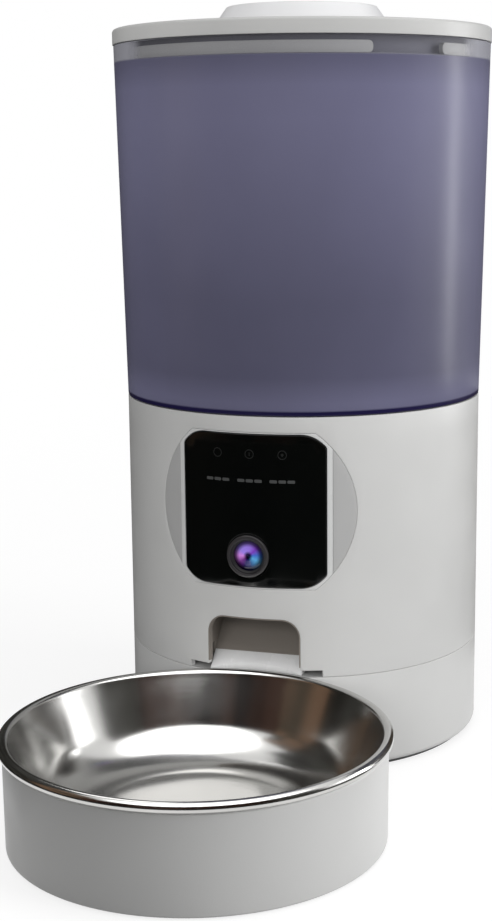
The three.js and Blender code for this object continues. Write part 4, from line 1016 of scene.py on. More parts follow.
@dataclass
class Tower:
    """Round shells under the tank, on their rubber ring."""

    radius: float = 93.0
    wall: float = 3.0
    edge: float = 0.4
    net: Point = (3.0, 9.0)
    low: float = 50.1
    top: float = 180.1
    arch_half: float = 24.0
    arch_top: float = 79.4
    arch_corner: float = 9.5
    arch_steps: int = 8
    dock_radius: float = 91.0
    dock_cut: Point = (0.0, 60.0)
    dock_roof: float = 53.5
    dock_half: float = 34.5
    trim_circle: float = 50.0
    trim_half: float = 38.9
    trim_level: float = 133.5
    trim_steps: int = 36
    lower_low: float = 5.1
    lower_top: float = 49.95
    lower_edge: float = 3.2
    skirt_inner: float = 89.5
    skirt_low: float = 2.2
    flange: float = 2.6
    flange_inner: float = 70.0
    deck: float = 2.5
    inlet: Corner = (6.0, 19.5, 26.5)
    tongue: Corner = (25.4, 7.7, 11.5)
    tongue_depth: float = 17.0
    foot_radius: float = 89.0
    foot_inner: float = 80.0
    foot_top: float = 4.8
    foot_edges: Edges = (0.4, 1.0, 0.3, 0.3)
    foot_cut: Point = (-5.0, 20.0)

    def build(self) -> None:
        """Makes the tower's shells and its foot."""
        self.upper()
        self.lower()
        self.foot()

    def upper(self) -> None:
        """Makes the upper housing with the trim's opening and the chute's arch."""
        wrap = Wrap(self.radius, TOWER)
        half_turn = math.pi * self.radius
        dock, arch = wrap.across(self.dock_half), wrap.across(self.arch_half)
        radius = self.arch_corner
        bend = arc((arch - radius, self.arch_top - radius), radius, 0, 90, self.arch_steps)
        right = [(dock, self.low), (dock, self.dock_roof), (arch, self.dock_roof), *bend]
        left = [(-x, y) for x, y in right]
        bottom = dense([(-half_turn, self.low), *left, *reversed(right), (half_turn, self.low)], self.net,
                       closed=False)
        top = dense([(half_turn, self.top), (-half_turn, self.top)], self.net, closed=False)
        side = math.degrees(math.asin(self.trim_half / self.trim_circle))
        seat = [(wrap.across(x), y) for begin in (-side, 180 - side) for x, y in
                arc((0.0, self.trim_level), self.trim_circle, begin, begin + 2 * side, self.trim_steps)]
        hole = facing(dense(seat, self.net), hole=True)
        made = Sketch()
        for loop, closed in ((bottom, False), (top, False), (hole, True)):
            made.rim(loop, wrap, self.edge, self.wall, closed)
        for inset, depth in ((self.edge, 0.0), (0.0, self.wall)):
            low, high = shifted(bottom, inset, False), shifted(top, inset, False)
            rise = dense([low[-1], high[0]], self.net, closed=False)[1:-1]
            fall = [(-half_turn, y) for _, y in reversed(rise)]
            made.fill([[*low, *rise, *high, *fall], shifted(hole, inset)], wrap, depth, self.net)
        made.tidy().piece("tower_housing", WHITE, Body.BASE, ["upper_housing"])

    def lower(self) -> None:
        """Makes the lower shell with the bay that the bowl docks into."""
        outer, inner = self.radius, self.radius - self.wall
        low, high = self.lower_low, self.lower_top
        profile = rounded([
            (0.0, high, 0.0), (0.0, high - self.deck, 0.0), (inner, high - self.deck, 0.0),
            (inner, low + self.flange, 0.0), (self.flange_inner, low + self.flange, 0.0),
            (self.flange_inner, low, 0.0), (self.skirt_inner, low, 0.0),
            (self.skirt_inner, self.skirt_low, 0.0), (outer, self.skirt_low, self.lower_edge),
            (outer, high, self.edge)], SOFT_STEPS)
        dock = self.dock_radius
        wall = rounded(oblong(dock - LAP, dock + self.wall, low + TOUCH, high - TOUCH))
        bay = Sketch().lathe(wall, DISH).join(drum(inner + LAP, low, high, TOWER), Join.KEEP)
        made = Sketch().lathe(profile, TOWER).join(bay, Join.ADD)
        made.join(drum(dock, *self.dock_cut, DISH))
        half, low, high = self.tongue
        made.join(block((-half, TOWER - outer, low), (half, TOWER - outer + self.tongue_depth, high)))
        half, low, high = self.inlet
        made.join(block((-half, TOWER + inner - SPARE, low), (half, TOWER + outer + SPARE, high)))
        made.tidy().piece("tower_lower_shell", WHITE, Body.BASE, ["lower_shell"])

    def foot(self) -> None:
        """Makes the dark rubber ring under the tower, whose darkness is partly painted shade under the
        tower's edge.
        """
        inner, outer, top = self.foot_inner, self.foot_radius, self.foot_top
        profile = edged([(inner, 0.0), (outer, 0.0), (outer, top), (inner, top)], self.foot_edges)
        made = Sketch().lathe(profile, TOWER).join(drum(self.dock_radius, *self.foot_cut, DISH))
        made.tidy().piece("tower_foot", RUBBER, Body.BASE, ["foot_ring"])


@dataclass
class ControlPanel:
    """Black touch panel in its round trim, with the camera."""

    radius: float = 93.3
    thickness: float = 2.1
    edge: float = 0.5
    level: float = 133.5
    half_width: float = 36.45
    half_height: float = 38.0
    circle: float = 48.4
    corner_radii: Point = (14.0, 3.0)
    net: Point = (2.5, 5.0)
    trim_circle: float = 49.88
    trim_half: float = 38.78
    trim_radius: float = 92.9
    trim_sizes: Point = (3.2, 0.1)
    trim_steps: int = 8
    strip: float = 2.4
    gap: float = 0.3
    segment_gap: float = 0.1
    segment_sizes: Point = (3.0, 0.2)
    segment_net: Point = (2.0, 4.0)
    segment_steps: int = 40
    keys: tuple[float, ...] = (-17.0, -0.3, 16.0)
    key_level: float = 161.8
    key_radii: Point = (2.3, 1.9)
    key_flats: int = 36
    stroke_key: int = 1
    stroke: Point = (0.2, 0.9)
    dot_key: int = 2
    dot: float = 0.7
    dot_flats: int = 18
    dashes: int = 3
    dash_level: float = 148.6
    dash_start: float = 6.3
    dash_pitch: float = 4.4
    dash_length: float = 3.7
    dash_half: float = 0.75
    dash_corner: float = 0.5
    print_rise: float = 0.04
    print_sizes: Point = (0.06, 0.015)
    print_net: Point = (1.0, 1.0)
    camera: Point = (-1.5, 110.9)
    camera_front: float = 94.6
    hole_flats: int = 60
    ring_radius: float = 10.6
    ring_bore: float = 8.7
    ring_depth: float = 5.5
    ring_edges: Edges = (0.25, 0.6, 0.0, 0.0)
    hood_bore: float = 7.5
    hood_gap: float = 0.05
    hood_wall: float = 0.6
    hood_depths: Corner = (0.5, 1.7, 2.2)
    hood_edges: Edges = (0.15, 0.2, 0.0, 0.0, 0.0, 0.0)
    lens_lap: float = 0.3
    lens_edge: float = 2.9
    lens_rise: float = 1.3
    lens_back: float = 3.4
    lens_steps: int = 10
    flats: int = 96

    def build(self) -> None:
        """Makes the panel, its trim, the key marks and the camera."""
        self.panel()
        self.trim()
        self.marks()
        self.lens()

    def outline(self, wrap: Wrap) -> list[Point]:
        """Draws the panel: a square whose corners follow the round trim.

        Args:
            wrap: The cylinder that it lies on.

        Returns:
            The outline on that cylinder.
        """
        wide, high = self.half_width, self.half_height
        flat, side = math.sqrt(self.circle ** 2 - high ** 2), math.sqrt(self.circle ** 2 - wide ** 2)
        soft, tight = self.corner_radii
        drawn = [(flat, high, soft), (-flat, high, soft), (-wide, side, tight), (-wide, -side, tight),
                 (-flat, -high, soft), (flat, -high, soft), (wide, -side, tight), (wide, side, tight)]
        return [(wrap.across(x), y + self.level) for x, y in rounded(drawn, SOFT_STEPS)]

    def panel(self) -> None:
        """Makes the curved black panel with the camera's hole."""
        wrap = Wrap(self.radius, TOWER)
        side, level = self.camera
        hole = circle((wrap.across(side), level), self.ring_radius + self.gap, self.hole_flats)
        made = plate([self.outline(wrap), hole], wrap, self.thickness, self.edge, self.net)
        made.piece("panel_face", BLACK, Body.BASE, ["touch_panel"])

    def trim(self) -> None:
        """Makes the light frame round the panel and the grey segments outside its two upright strips."""
        wrap = Wrap(self.trim_radius, TOWER)
        strip_out = self.half_width + self.gap + self.strip
        top = math.degrees(math.asin(self.trim_half / self.trim_circle))
        side = math.degrees(math.acos(strip_out / self.trim_circle))
        quarter = arc((0.0, 0.0), self.trim_circle, side, top, self.trim_steps)
        half = quarter + [(-x, y) for x, y in reversed(quarter)]
        outline = [(wrap.across(x), y + self.level) for x, y in half + [(-x, -y) for x, y in half]]
        opening = shifted(facing(self.outline(wrap), hole=False), -self.gap)
        made = plate([outline, opening], wrap, *self.trim_sizes, self.net)
        made.piece("trim_frame", FRAME, Body.BASE, ["panel_trim"])
        segments = Sketch()
        start = math.degrees(math.acos((strip_out + self.segment_gap) / self.trim_circle))
        curve = arc((0.0, 0.0), self.trim_circle, -start, start, self.segment_steps)
        for across in (-1, 1):
            shape = [(wrap.across(across * x), y + self.level) for x, y in curve]
            segments.add(plate([shape], wrap, *self.segment_sizes, self.segment_net))
        segments.piece("trim_segments", GREY, Body.BASE, ["panel_trim"])

    def marks(self) -> None:
        """Makes the plain printed marks: a ring for each key, with a stroke or a dot in two, and dashes."""
        wrap = Wrap(self.radius + self.print_rise, TOWER)
        dashes, icons = [], []
        low, high = self.dash_level - self.dash_half, self.dash_level + self.dash_half
        for index, key in enumerate(self.keys):
            spot, level = wrap.across(key), self.key_level
            icons.append([circle((spot, level), radius, self.key_flats) for radius in self.key_radii])
            if index == self.stroke_key:
                half, reach = self.stroke
                icons.append([rounded(oblong(spot - half, spot + half, level - reach, level + reach))])
            if index == self.dot_key:
                icons.append([circle((spot, level), self.dot, self.dot_flats)])
            for step in range(self.dashes):
                left = spot - self.dash_start + self.dash_pitch * step
                drawn = oblong(left, left + self.dash_length, low, high, (self.dash_corner,) * 2)
                dashes.append([rounded(drawn)])
        for name, finish, shapes in (("key_marks", MARK, dashes), ("key_icons", ICON, icons)):
            made = Sketch()
            for loops in shapes:
                made.add(plate(loops, wrap, *self.print_sizes, self.print_net))
            made.piece(name, finish, Body.BASE)

    def lens(self) -> None:
        """Makes the camera's ring, its hood and its coated lens, turned about the camera's own axis."""
        side, level = self.camera
        front = Matrix.Translation((side, TOWER - self.camera_front, level))
        front = front @ Matrix.Rotation(math.radians(90), 4, "X")
        deep = -self.ring_depth
        ring = edged([(self.ring_bore, 0.0), (self.ring_radius, 0.0), (self.ring_radius, deep),
                      (self.ring_bore, deep)], self.ring_edges)
        bore, outer = self.hood_bore, self.ring_bore - self.hood_gap
        wall, (rise, lip, floor) = bore + self.hood_wall, self.hood_depths
        hood = edged([(bore, -lip), (outer, -rise), (outer, deep), (wall, deep), (wall, -floor),
                      (bore, -floor)], self.hood_edges)
        radius = bore + self.lens_lap
        dome = [(radius * math.sin(a), self.lens_rise * math.cos(a) - self.lens_edge) for a in
                (math.radians(90 / self.lens_steps * k) for k in range(self.lens_steps + 1))]
        glass = [*dome, (radius, -self.lens_back), (0.0, -self.lens_back)]
        coating = replace(LENS, centre=(side * MM, level * MM), radius=radius * MM)
        for name, profile, finish, node in (("camera_bezel", ring, RING, "camera_ring"),
                                            ("camera_hood", hood, DARK, "camera_ring"),
                                            ("camera_glass", glass, coating, "camera_lens")):
            made = Sketch().lathe(profile, 0.0, self.flats).moved(front)
            made.tidy().piece(name, finish, Body.BASE, [node])


@dataclass
class ChuteFoot:
    """Light lip at the foot of the chute, which follows the bay round the bowl."""

    tower: Tower = field(default_factory=Tower)
    half: float = 23.7
    foot: Point = (-79.5, 58.1)
    slope: float = 0.9218
    front: float = -96.0
    back: float = -72.0
    deep: float = 40.0
    under: float = 54.1
    low: float = 50.2
    tower_top: float = 70.0
    bowl_gap: float = 90.5
    bowl_cut: Point = (0.0, 80.0)
    edge: float = 0.3
    shade_sheet_low: float = 55.0
    shade_sheet_gap: float = 0.05
    shade_sheet_wall: float = 0.5
    shade_sheet_depths: Point = (0.12, 3.1)
    shade_sheet_net: Point = (4.0, 4.0)
    shade_sheet_steps: int = 10

    def build(self) -> None:
        """Makes the lip, and the dark sheet of painted shade on the arch above it."""
        self.arch_shade_sheet()
        foot, level = self.foot
        outline = [self.foot, (self.front, level - self.slope * (foot - self.front)), (self.front, self.deep),
                   (self.back, self.deep), (self.back, self.under), (foot, self.under)]
        made = Sketch().prism(outline, -self.half, self.half, lambda y, z, x: Vector((x, TOWER + y, z)))
        made.join(drum(self.tower.radius, self.low, self.tower_top, TOWER), Join.KEEP)
        made.join(drum(self.bowl_gap, *self.bowl_cut, DISH))
        made.tidy().piece("chute_apron", LIP, Body.BASE, ["chute_lip"], bevel=self.edge)

    def arch_shade_sheet(self) -> None:
        """Makes a thin dark sheet over the cut edge of the arch, as painted shade on the arch's inner wall.
        """
        wrap = Wrap(self.tower.radius, TOWER)
        side, top = wrap.across(self.tower.arch_half) - self.shade_sheet_gap, self.tower.arch_top - self.shade_sheet_gap
        bend = self.tower.arch_corner
        right = [(side, self.shade_sheet_low), *arc((side - bend, top - bend), bend, 0, 90, self.shade_sheet_steps)]
        path = dense([*right, *[(-x, y) for x, y in reversed(right)]], self.shade_sheet_net, closed=False)
        inner = shifted(path, self.shade_sheet_wall, closed=False)
        front, back = self.shade_sheet_depths
        rows = [[wrap(x, y, depth) for x, y in line]
                for line, depth in ((path, front), (inner, front), (inner, back), (path, back))]
        made = Sketch().net(rows, onward=True)
        ends = [e for e in made.mesh.edges if e.is_boundary]
        bmesh.ops.holes_fill(made.mesh, edges=ends)
        # painted shade: the dark sheet stands for the arch's wall in shade
        made.tidy().piece("arch_edge_shade", CHUTE, Body.BASE)


@dataclass
class Works:
    """Well and rotor under the tank."""

    well_top: float = 175.4
    flange_radius: float = 89.7
    flange: float = 2.6
    shoulder: float = 77.4
    mouth: float = 86.0
    cup: float = 60.0
    cup_top: float = 163.4
    floor: float = 141.4
    wall: float = 2.4
    hub: float = 4.8
    well_edges: Edges = (0.0, 1.5, 2.0, 1.0, 0.3, 0.5, 0.8, 3.0, 1.5, 0.0)
    outlet: Corner = (22.5, -54.0, -30.0)
    outlet_over: float = 2.5
    vanes: int = 6
    vane_root: float = 5.0
    vane_reach: float = 56.2
    vane_twist: float = 24.0
    vane_half: float = 1.2
    vane_parts: int = 16
    vane_low: float = 142.0
    vane_height: float = 16.5
    hub_radius: float = 10.0
    hub_top: float = 161.0
    cone_radius: float = 3.0
    cone_top: float = 170.0
    hub_edges: Edges = (0.0, 0.6, 1.5, 1.2, 0.0)
    flats: int = 96
    bore: Point = (4.5, 9.0)
    bore_sides: int = 6
    edge: float = 0.35
    edge_angle: float = 60.0

    def build(self) -> None:
        """Makes the well and the rotor."""
        self.well()
        self.rotor()

    def well(self) -> None:
        """Makes the well with its cup and the outlet in the cup's floor."""
        under, wall, lip = self.floor - self.wall, self.cup + self.wall, self.well_top - self.flange
        profile = edged([
            (self.hub, under), (wall, under), (wall, self.cup_top - self.wall), (self.shoulder, lip),
            (self.flange_radius, lip), (self.flange_radius, self.well_top), (self.mouth, self.well_top),
            (self.cup, self.cup_top), (self.cup, self.floor), (self.hub, self.floor)], self.well_edges)
        half, front, back = self.outlet
        made = Sketch().lathe(profile, TOWER)
        over = self.floor + self.outlet_over
        made.join(block((-half, TOWER + front, under - SPARE), (half, TOWER + back, over)))
        made.tidy().piece("rotor_well", INNER, Body.BASE, ["metering_well"])

    def rotor(self) -> None:
        """Makes the rotor: a hub with a cone, swept vanes and the bore that the dog drives."""
        low = self.vane_low
        hub = edged([(0.0, low), (self.hub_radius, low), (self.hub_radius, self.hub_top),
                     (self.cone_radius, self.cone_top), (0.0, self.cone_top)], self.hub_edges)
        made = Sketch().lathe(hub, TOWER, self.flats)
        for index in range(self.vanes):
            vane = self.vane(2 * math.pi * index / self.vanes)
            made.join(Sketch().prism(vane, -low - self.vane_height, -low, Level(0.0, TOWER)), Join.ADD)
        radius, height = self.bore
        made.join(drum(radius, low - SPARE, low + height, TOWER, self.bore_sides)).tidy()
        made.piece("portion_rotor", VANE, Body.ROTOR, ["metering_rotor"], bevel=self.edge,
                   bevel_angle=self.edge_angle)

    def vane(self, turn: float) -> list[Point]:
        """Draws a vane that sweeps back as it reaches out.

        Args:
            turn: Angle of its root.

        Returns:
            Its outline, seen from above.
        """
        left, right = [], []
        length, twist = self.vane_reach - self.vane_root, math.radians(self.vane_twist)
        for k in range(self.vane_parts + 1):
            share = k / self.vane_parts
            reach, angle = self.vane_root + length * share, turn + twist * share
            lean = angle + math.atan(twist * reach / length)
            middle = Vector((reach * math.cos(angle), reach * math.sin(angle)))
            over = Vector((-math.sin(lean), math.cos(lean))) * self.vane_half
            left.append(tuple(middle + over))
            right.insert(0, tuple(middle - over))
        return [*right, *left]


@dataclass
class Tank:
    """See-through tank that flares a little towards the lid."""

    bottom_radius: float = 93.0
    top_radius: float = 96.6
    bottom: float = 180.4
    top: float = 358.7
    parts: int = 12
    wall: float = 2.2
    collar_radius: float = 89.5
    collar_wall: float = 2.5
    collar_depth: float = 4.4
    sill: float = 3.0
    collar_edges: Point = (0.5, 0.8)
    foot_edge: float = 0.9
    rim_edge: float = 0.5
    sill_edges: Point = (2.5, 0.5)

    def build(self) -> None:
        """Makes the tank's wall with its rounded rim, sill and collar."""
        collar, foot = self.collar_radius, self.bottom - self.collar_depth
        inner, wall_foot = collar - self.collar_wall, self.bottom_radius - self.wall
        wall = between((self.bottom_radius, self.bottom), (self.top_radius, self.top), self.parts)
        profile = [
            (inner, foot), (collar, foot), (collar, self.bottom), (self.bottom_radius, self.bottom), *wall,
            (self.top_radius, self.top), (self.top_radius - self.wall, self.top),
            *[(x - self.wall, y) for x, y in reversed(wall)],
            (wall_foot, self.bottom + self.sill), (inner, self.bottom + self.sill / 2)]
        straight = (0.0,) * len(wall)
        edges = (*self.collar_edges, 0.0, self.foot_edge, *straight, self.rim_edge, self.rim_edge, *straight,
                 *self.sill_edges)
        Sketch().lathe(edged(profile, edges), TOWER, FINE).piece("tank_wall", SMOKE, Body.TANK, ["food_tank"])


@dataclass
class Lid:
    """Lid with its liner, the cam lock and the turning knob."""

    radius: float = 97.1
    bottom: float = 359.0
    top: float = 366.6
    edges: Edges = (0.0, 0.8, 0.3, 0.4, 1.5, 0.3)
    plate: float = 3.0
    skirt_inner: float = 94.9
    hole: float = 6.4
    liner_radius: float = 87.92
    liner_wall: float = 2.4
    liner_bottom: float = 349.8
    liner_top: float = 363.3
    liner_edges: Edges = (0.0, 0.0, 1.0, 0.3, 0.3, 1.0)
    locks: int = 3
    lock_radius: float = 93.72
    lock_arc: float = 95.0
    lock_low: float = 350.5
    lock_height: float = 5.8
    lock_thickness: float = 2.4
    lock_corner: float = 2.4
    lock_edge: float = 0.3
    lock_net: Point = (3.0, 3.0)
    lock_first: float = -10.5
    arm_half: float = 6.0
    arm_low: float = 352.5
    arm_height: float = 2.5
    arm_inner: float = 24.0
    arm_lap: float = 1.2
    arm_corner: float = 2.0
    window_gap: float = 0.4
    window_reach: Point = (4.0, 4.9)
    pin: Corner = (2.0, 30.0, 357.7)
    pin_edges: Point = (0.0, 0.3)
    pin_flats: int = 32
    knob_bottom: float = 366.9
    knob_top: float = 378.0
    knob_foot: float = 1.5
    knob_radius: float = 45.5
    knob_top_radius: float = 38.5
    knob_edge: float = 1.5
    knob_foot_edges: Point = (0.8, 0.4)
    knob_lap: float = 4.0
    knob_net: Point = (4.0, 4.0)
    knob_flats: int = 120
    bar_half: float = 11.5
    well_radius: float = 33.0
    well_depth: float = 8.0
    well_edge: float = 0.7
    well_foot: float = 1.2
    well_corner: float = 3.2
    well_angle: float = 3.0
    well_net: Point = (3.0, 3.0)
    well_steps: int = 30
    floor_net: Point = (5.0, 5.0)
    spindle: Corner = (6.0, 355.6, 368.4)
    spindle_edges: Point = (0.5, 0.0)
    spindle_flats: int = 60
    screw_hole: Point = (1.8, 8.7)
    screw_flats: int = 24

    def build(self) -> None:
        """Makes the lid's cover, liner, knob and lock segments."""
        under, inner = self.top - self.plate, self.skirt_inner
        cover = edged([(self.hole, under), (inner, under), (inner, self.bottom), (self.radius, self.bottom),
                       (self.radius, self.top), (self.hole, self.top)], self.edges, SOFT_STEPS)
        Sketch().lathe(cover, TOWER, FINE).piece("lid_shell", SHADED_LID_WHITE, Body.LID, ["lid_cover"])
        self.liner()
        self.knob()
        for index in range(self.locks):
            self.segment(index)

    def turned(self, index: int) -> Matrix:
        """Returns the turn that brings something at the front of the lid to one of its locks."""
        turn = math.radians(self.lock_first + 360 / self.locks * index)
        return Matrix.Translation((0, TOWER, 0)) @ Matrix.Rotation(turn, 4, "Z")

    def liner(self) -> None:
        """Makes the cup under the lid with its windows for the lock's arms."""
        outer, inner = self.liner_radius, self.liner_radius - self.liner_wall
        floor = self.liner_bottom + self.liner_wall
        profile = edged([
            (0.0, floor), (0.0, self.liner_bottom), (outer, self.liner_bottom), (outer, self.liner_top),
            (inner, self.liner_top), (inner, floor)], self.liner_edges)
        made = Sketch().lathe(profile, TOWER)
        half, (out, back) = self.arm_half + self.window_gap, self.window_reach
        over = self.arm_low + self.arm_height + self.window_gap
        for index in range(self.locks):
            window = block((-half, -outer - out, floor + TOUCH), (half, back - outer, over))
            made.join(window.moved(self.turned(index)))
        made.tidy().piece("lid_liner_cup", CUP, Body.LID, ["lid_liner"])

    def knob(self) -> None:
        """Makes the knob: a turned cap with two finger wells and the bar between them."""
        level = Level(self.knob_top, TOWER)
        cap = self.knob_top_radius - self.knob_edge
        reach = math.sqrt(self.well_radius ** 2 - self.bar_half ** 2)
        turn = math.degrees(math.asin(reach / self.well_radius)) - self.well_angle
        corner = reach - self.well_corner
        made, loops = Sketch(), [facing(circle((0.0, 0.0), cap, self.knob_flats), hole=False)]
        for side in (-1, 1):
            curve = arc((0.0, 0.0), self.well_radius, -turn, turn, self.well_steps)
            shape = [*[(side * x, y) for x, y in curve],
                     (side * self.bar_half, corner), (side * self.bar_half, -corner)]
            hole = facing(dense(shape, self.well_net), hole=True)
            made.rim(hole, level, self.well_edge, self.well_depth, foot=self.well_foot)
            made.fill([shifted(hole, -self.well_foot)], level, self.well_depth, self.floor_net)
            loops.append(shifted(hole, self.well_edge))
        made.fill(loops, level, 0.0, self.knob_net)
        wide, foot = self.knob_radius, self.knob_bottom
        outer = edged([
            (cap - self.knob_lap, self.knob_top), (self.knob_top_radius, self.knob_top),
            (wide, foot + self.knob_foot), (wide, foot), (0.0, foot)],
            (0.0, self.knob_edge, *self.knob_foot_edges, 0.0), SOFT_STEPS)[1:]
        rows = []
        for angle in (math.radians(360 / self.knob_flats * i) for i in range(self.knob_flats)):
            rows.append([Vector((r * math.cos(angle), TOWER + r * math.sin(angle), z)) for r, z in
                         [(cap, self.knob_top), *outer]])
        made.net(rows, onward=True).tidy()
        radius, low, high = self.spindle
        made.join(drum(radius, low, high, TOWER, self.spindle_flats, self.spindle_edges), Join.ADD)
        radius, depth = self.screw_hole
        made.join(drum(radius, low - LAP, low + depth, TOWER, self.screw_flats))
        made.tidy().piece("lid_grip", SNOW, Body.KNOB, ["lid_knob"])

    def segment(self, index: int) -> None:
        """Makes one lock segment with its arm and cam pin.

        Args:
            index: Which of them it is, from 0.
        """
        wrap = Wrap(self.lock_radius, 0.0)
        half = self.lock_radius * math.radians(self.lock_arc / 2)
        low, high = self.lock_low, self.lock_low + self.lock_height
        drawn = oblong(-half, half, low, high, (self.lock_corner,) * 2)
        made = plate([rounded(drawn, SOFT_STEPS)], wrap, self.lock_thickness, self.lock_edge,
                     self.lock_net)
        half, low = self.arm_half, self.arm_low
        root = self.arm_lap - self.lock_radius
        arm = rounded(oblong(-half, half, root, -self.arm_inner, (0.0, self.arm_corner)))
        made.join(Sketch().prism(arm, -low - self.arm_height, -low, Level(0.0, 0.0)), Join.ADD)
        radius, place, top = self.pin
        pin = drum(radius, low, top, -place, self.pin_flats, self.pin_edges)
        made.join(pin, Join.ADD).moved(self.turned(index))
        thing = made.tidy().piece(f"lock_arc_{index + 1}", LOCK, Body.LID, [f"lock_segment_{index + 1}"])
        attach(thing, f"lock_{index + 1}")


@dataclass
class Dish:
    """Steel bowl in its holder."""

    holder_radius: float = 86.7
    draft: float = 0.3
    wall: float = 2.5
    height: float = 45.8
    ground: float = 0.8
    floor: float = 3.0
    floor_thickness: float = 2.4
    floor_hole: float = 45.0
    edges: Edges = (0.4, 1.3, 1.1, 0.9, 1.5, 0.4, 0.4, 0.5)
    tongue_half: float = 25.0
    tongue_tip: float = 113.0
    tongue_low: float = 8.1
    tongue_thickness: float = 3.0
    tongue_corner: float = 8.0
    tongue_steps: int = 8
    rim: float = 89.0
    bead: float = 2.55
    bead_ends: Point = (195.0, 525.0)
    sheet: float = 1.0
    bead_level: float = 48.65
    base_level: float = 9.2
    lean: float = 22.0
    corner: float = 30.0
    corner_steps: int = 22
    bead_steps: int = 26
    wall_parts: int = 8
    sharp: float = 60.0

    def build(self) -> None:
        """Makes the holder and the bowl."""
        self.holder()
        self.bowl()

    def holder(self) -> None:
        """Makes the round holder with the tongue that slides under the tower."""
        outer = self.holder_radius
        foot, inner = outer - self.draft, outer - self.wall
        top, wall = self.floor + self.floor_thickness, foot - self.wall
        hole = self.floor_hole
        profile = edged([
            (wall, self.ground), (foot, self.ground), (outer, self.height), (inner, self.height), (wall, top),
            (hole, top), (hole, self.floor), (wall, self.floor)], self.edges, SOFT_STEPS)
        half, low = self.tongue_half, self.tongue_low
        drawn = oblong(-half, half, inner, self.tongue_tip, (0.0, self.tongue_corner))
        outline = rounded(drawn, self.tongue_steps)
        tongue = Sketch().prism(outline, -low - self.tongue_thickness, -low, Level(0.0, DISH))
        made = Sketch().lathe(profile, DISH, FINE).join(tongue, Join.ADD)
        made.tidy().piece("holder_body", LIT_HOLDER_WHITE, Body.TRAY, ["bowl_holder"])

    def bowl(self) -> None:
        """Makes the bowl: flat base, round corner, leaning wall and rolled bead."""
        centre, turn = self.rim - self.bead, 90 - self.lean
        base = self.base_level
        rise = self.corner * (1 - math.cos(math.radians(turn)))
        foot = centre - self.bead - math.tan(math.radians(self.lean)) * (self.bead_level - base - rise)
        middle = foot - self.corner * math.sin(math.radians(turn))
        hub = (middle, base + self.corner)
        outer, inner = ([(0.0, base + sheet), (middle / 2, base + sheet),
                         *arc(hub, self.corner - sheet, -90, turn - 90, self.corner_steps)]
                        for sheet in (0.0, self.sheet))
        bead = arc((centre, self.bead_level), self.bead, *self.bead_ends, self.bead_steps)
        profile = [*outer, *between(outer[-1], bead[0], self.wall_parts), *bead,
                   *between(bead[-1], inner[-1], self.wall_parts), *reversed(inner)]
        made = Sketch().lathe(profile, DISH, FINE)
        made.piece("bowl_shell", SPUN, Body.BOWL, ["steel_bowl"], sharp=self.sharp)


# --------- the nodes that stay as they are


@dataclass
class Fittings:
    """Inner and hidden CAD nodes, which keep their shape and get a finish."""

    finishes: dict[str, Finish] = field(default_factory=lambda: {
        "bottom_plate": INNER, "battery_door": INNER, "portion_guard": INNER, "camera_module": DARK,
        "control_board": BOARD, "power_board": BOARD, "chute_duct": CHUTE, "gearbox": DARK,
        "motor_can": STEEL, "battery_box": DARK, "speaker": DARK, "power_inlet": DARK,
        "battery_contact": STEEL, "battery_cell": CELL, "plate_screw": SCREW, "deck_screw": SCREW,
        "drive_dog": STEEL, "cam_disc": RING, "knob_screw": SCREW, "holder_foot": RUBBER})

    def dress(self) -> None:
        """Gives each node that still shows its finish."""
        for name, node in frame["nodes"].items():
            if node.hide_render:
                continue
            finish = next((f for stem, f in self.finishes.items() if name.startswith(stem)), INNER)
            for place in node.material_slots:
                place.link = "OBJECT"
                place.material = finish.material()
            log.info("node %s: %s", name, finish.name)


# --------- studio

FAR = 1.25
BOWL_SPOT = (0.0, -0.09, 0.03)


class Task(Enum):
    """What a lamp is there for."""

    FILL = "lights matt surfaces"
    SHINE = "shows in reflections"


@dataclass(frozen=True)
class Lamp:
    """Soft lamp, with its place in metres and its power in watts."""

    name: str
    place: Corner
    aim: Corner
    size: Point
    power: float
    task: Task = Task.FILL
    only: tuple[str, ...] = ()
    spared: tuple[str, ...] = ()

    def light(self) -> None:
        """Hangs the lamp for its task, and keeps it to its pieces where it has some."""
        data = bpy.data.lights.new(self.name, "AREA")
        data.shape = "ELLIPSE" if self.task is Task.SHINE else "RECTANGLE"
        data.size, data.size_y, data.energy = *self.size, self.power
        thing = placed(self.name, data)
        thing.location = self.place
        thing.rotation_euler = (Vector(self.aim) - Vector(self.place)).to_track_quat("-Z", "Y").to_euler()
        thing.visible_camera = False
        thing.visible_glossy, thing.visible_diffuse = self.task is Task.SHINE, self.task is Task.FILL
        if self.only or self.spared:
            lit = bpy.data.collections.new(f"{self.name}_lit")
            for piece in bpy.context.scene.objects:
                chosen = piece.name in self.only or self.spared and piece.name not in self.spared
                if piece.type == "MESH" and chosen:
                    lit.objects.link(piece)
            thing.light_linking.receiver_collection = lit


@dataclass(frozen=True)
class Screen:
    """Curved screen round the bowl, as in a product studio, that reflections show and the camera doesn't."""

    name: str
    profile: tuple[Point, ...]
    first: float
    last: float
    colour: Colour
    other: Colour
    parts: int = 24

    def stand(self) -> None:
        """Sets up the screen. Its profile gives the distance and the level in metres."""
        rows = []
        for i in range(self.parts + 1):
            angle = math.radians(self.first + (self.last - self.first) * i / self.parts)
            rows.append([Vector((reach * math.sin(angle), DISH * MM - reach * math.cos(angle), level))
                         for reach, level in self.profile])
        data = Sketch().net(rows).data(self.name)
        shader = Shader(self.name)
        patches = shader.span(shader.noise(3.0, 2.0), 0.0, 1.0, 0.4, 0.6)
        shader.set(Base_Color=shader.blend(patches, tint(self.colour), tint(self.other)), Roughness=0.9,
                   Specular_IOR_Level=0.1)
        data.materials.append(shader.material)
        thing = placed(self.name, data)
        thing.visible_camera = thing.visible_shadow = False
        thing.visible_diffuse = thing.visible_transmission = False


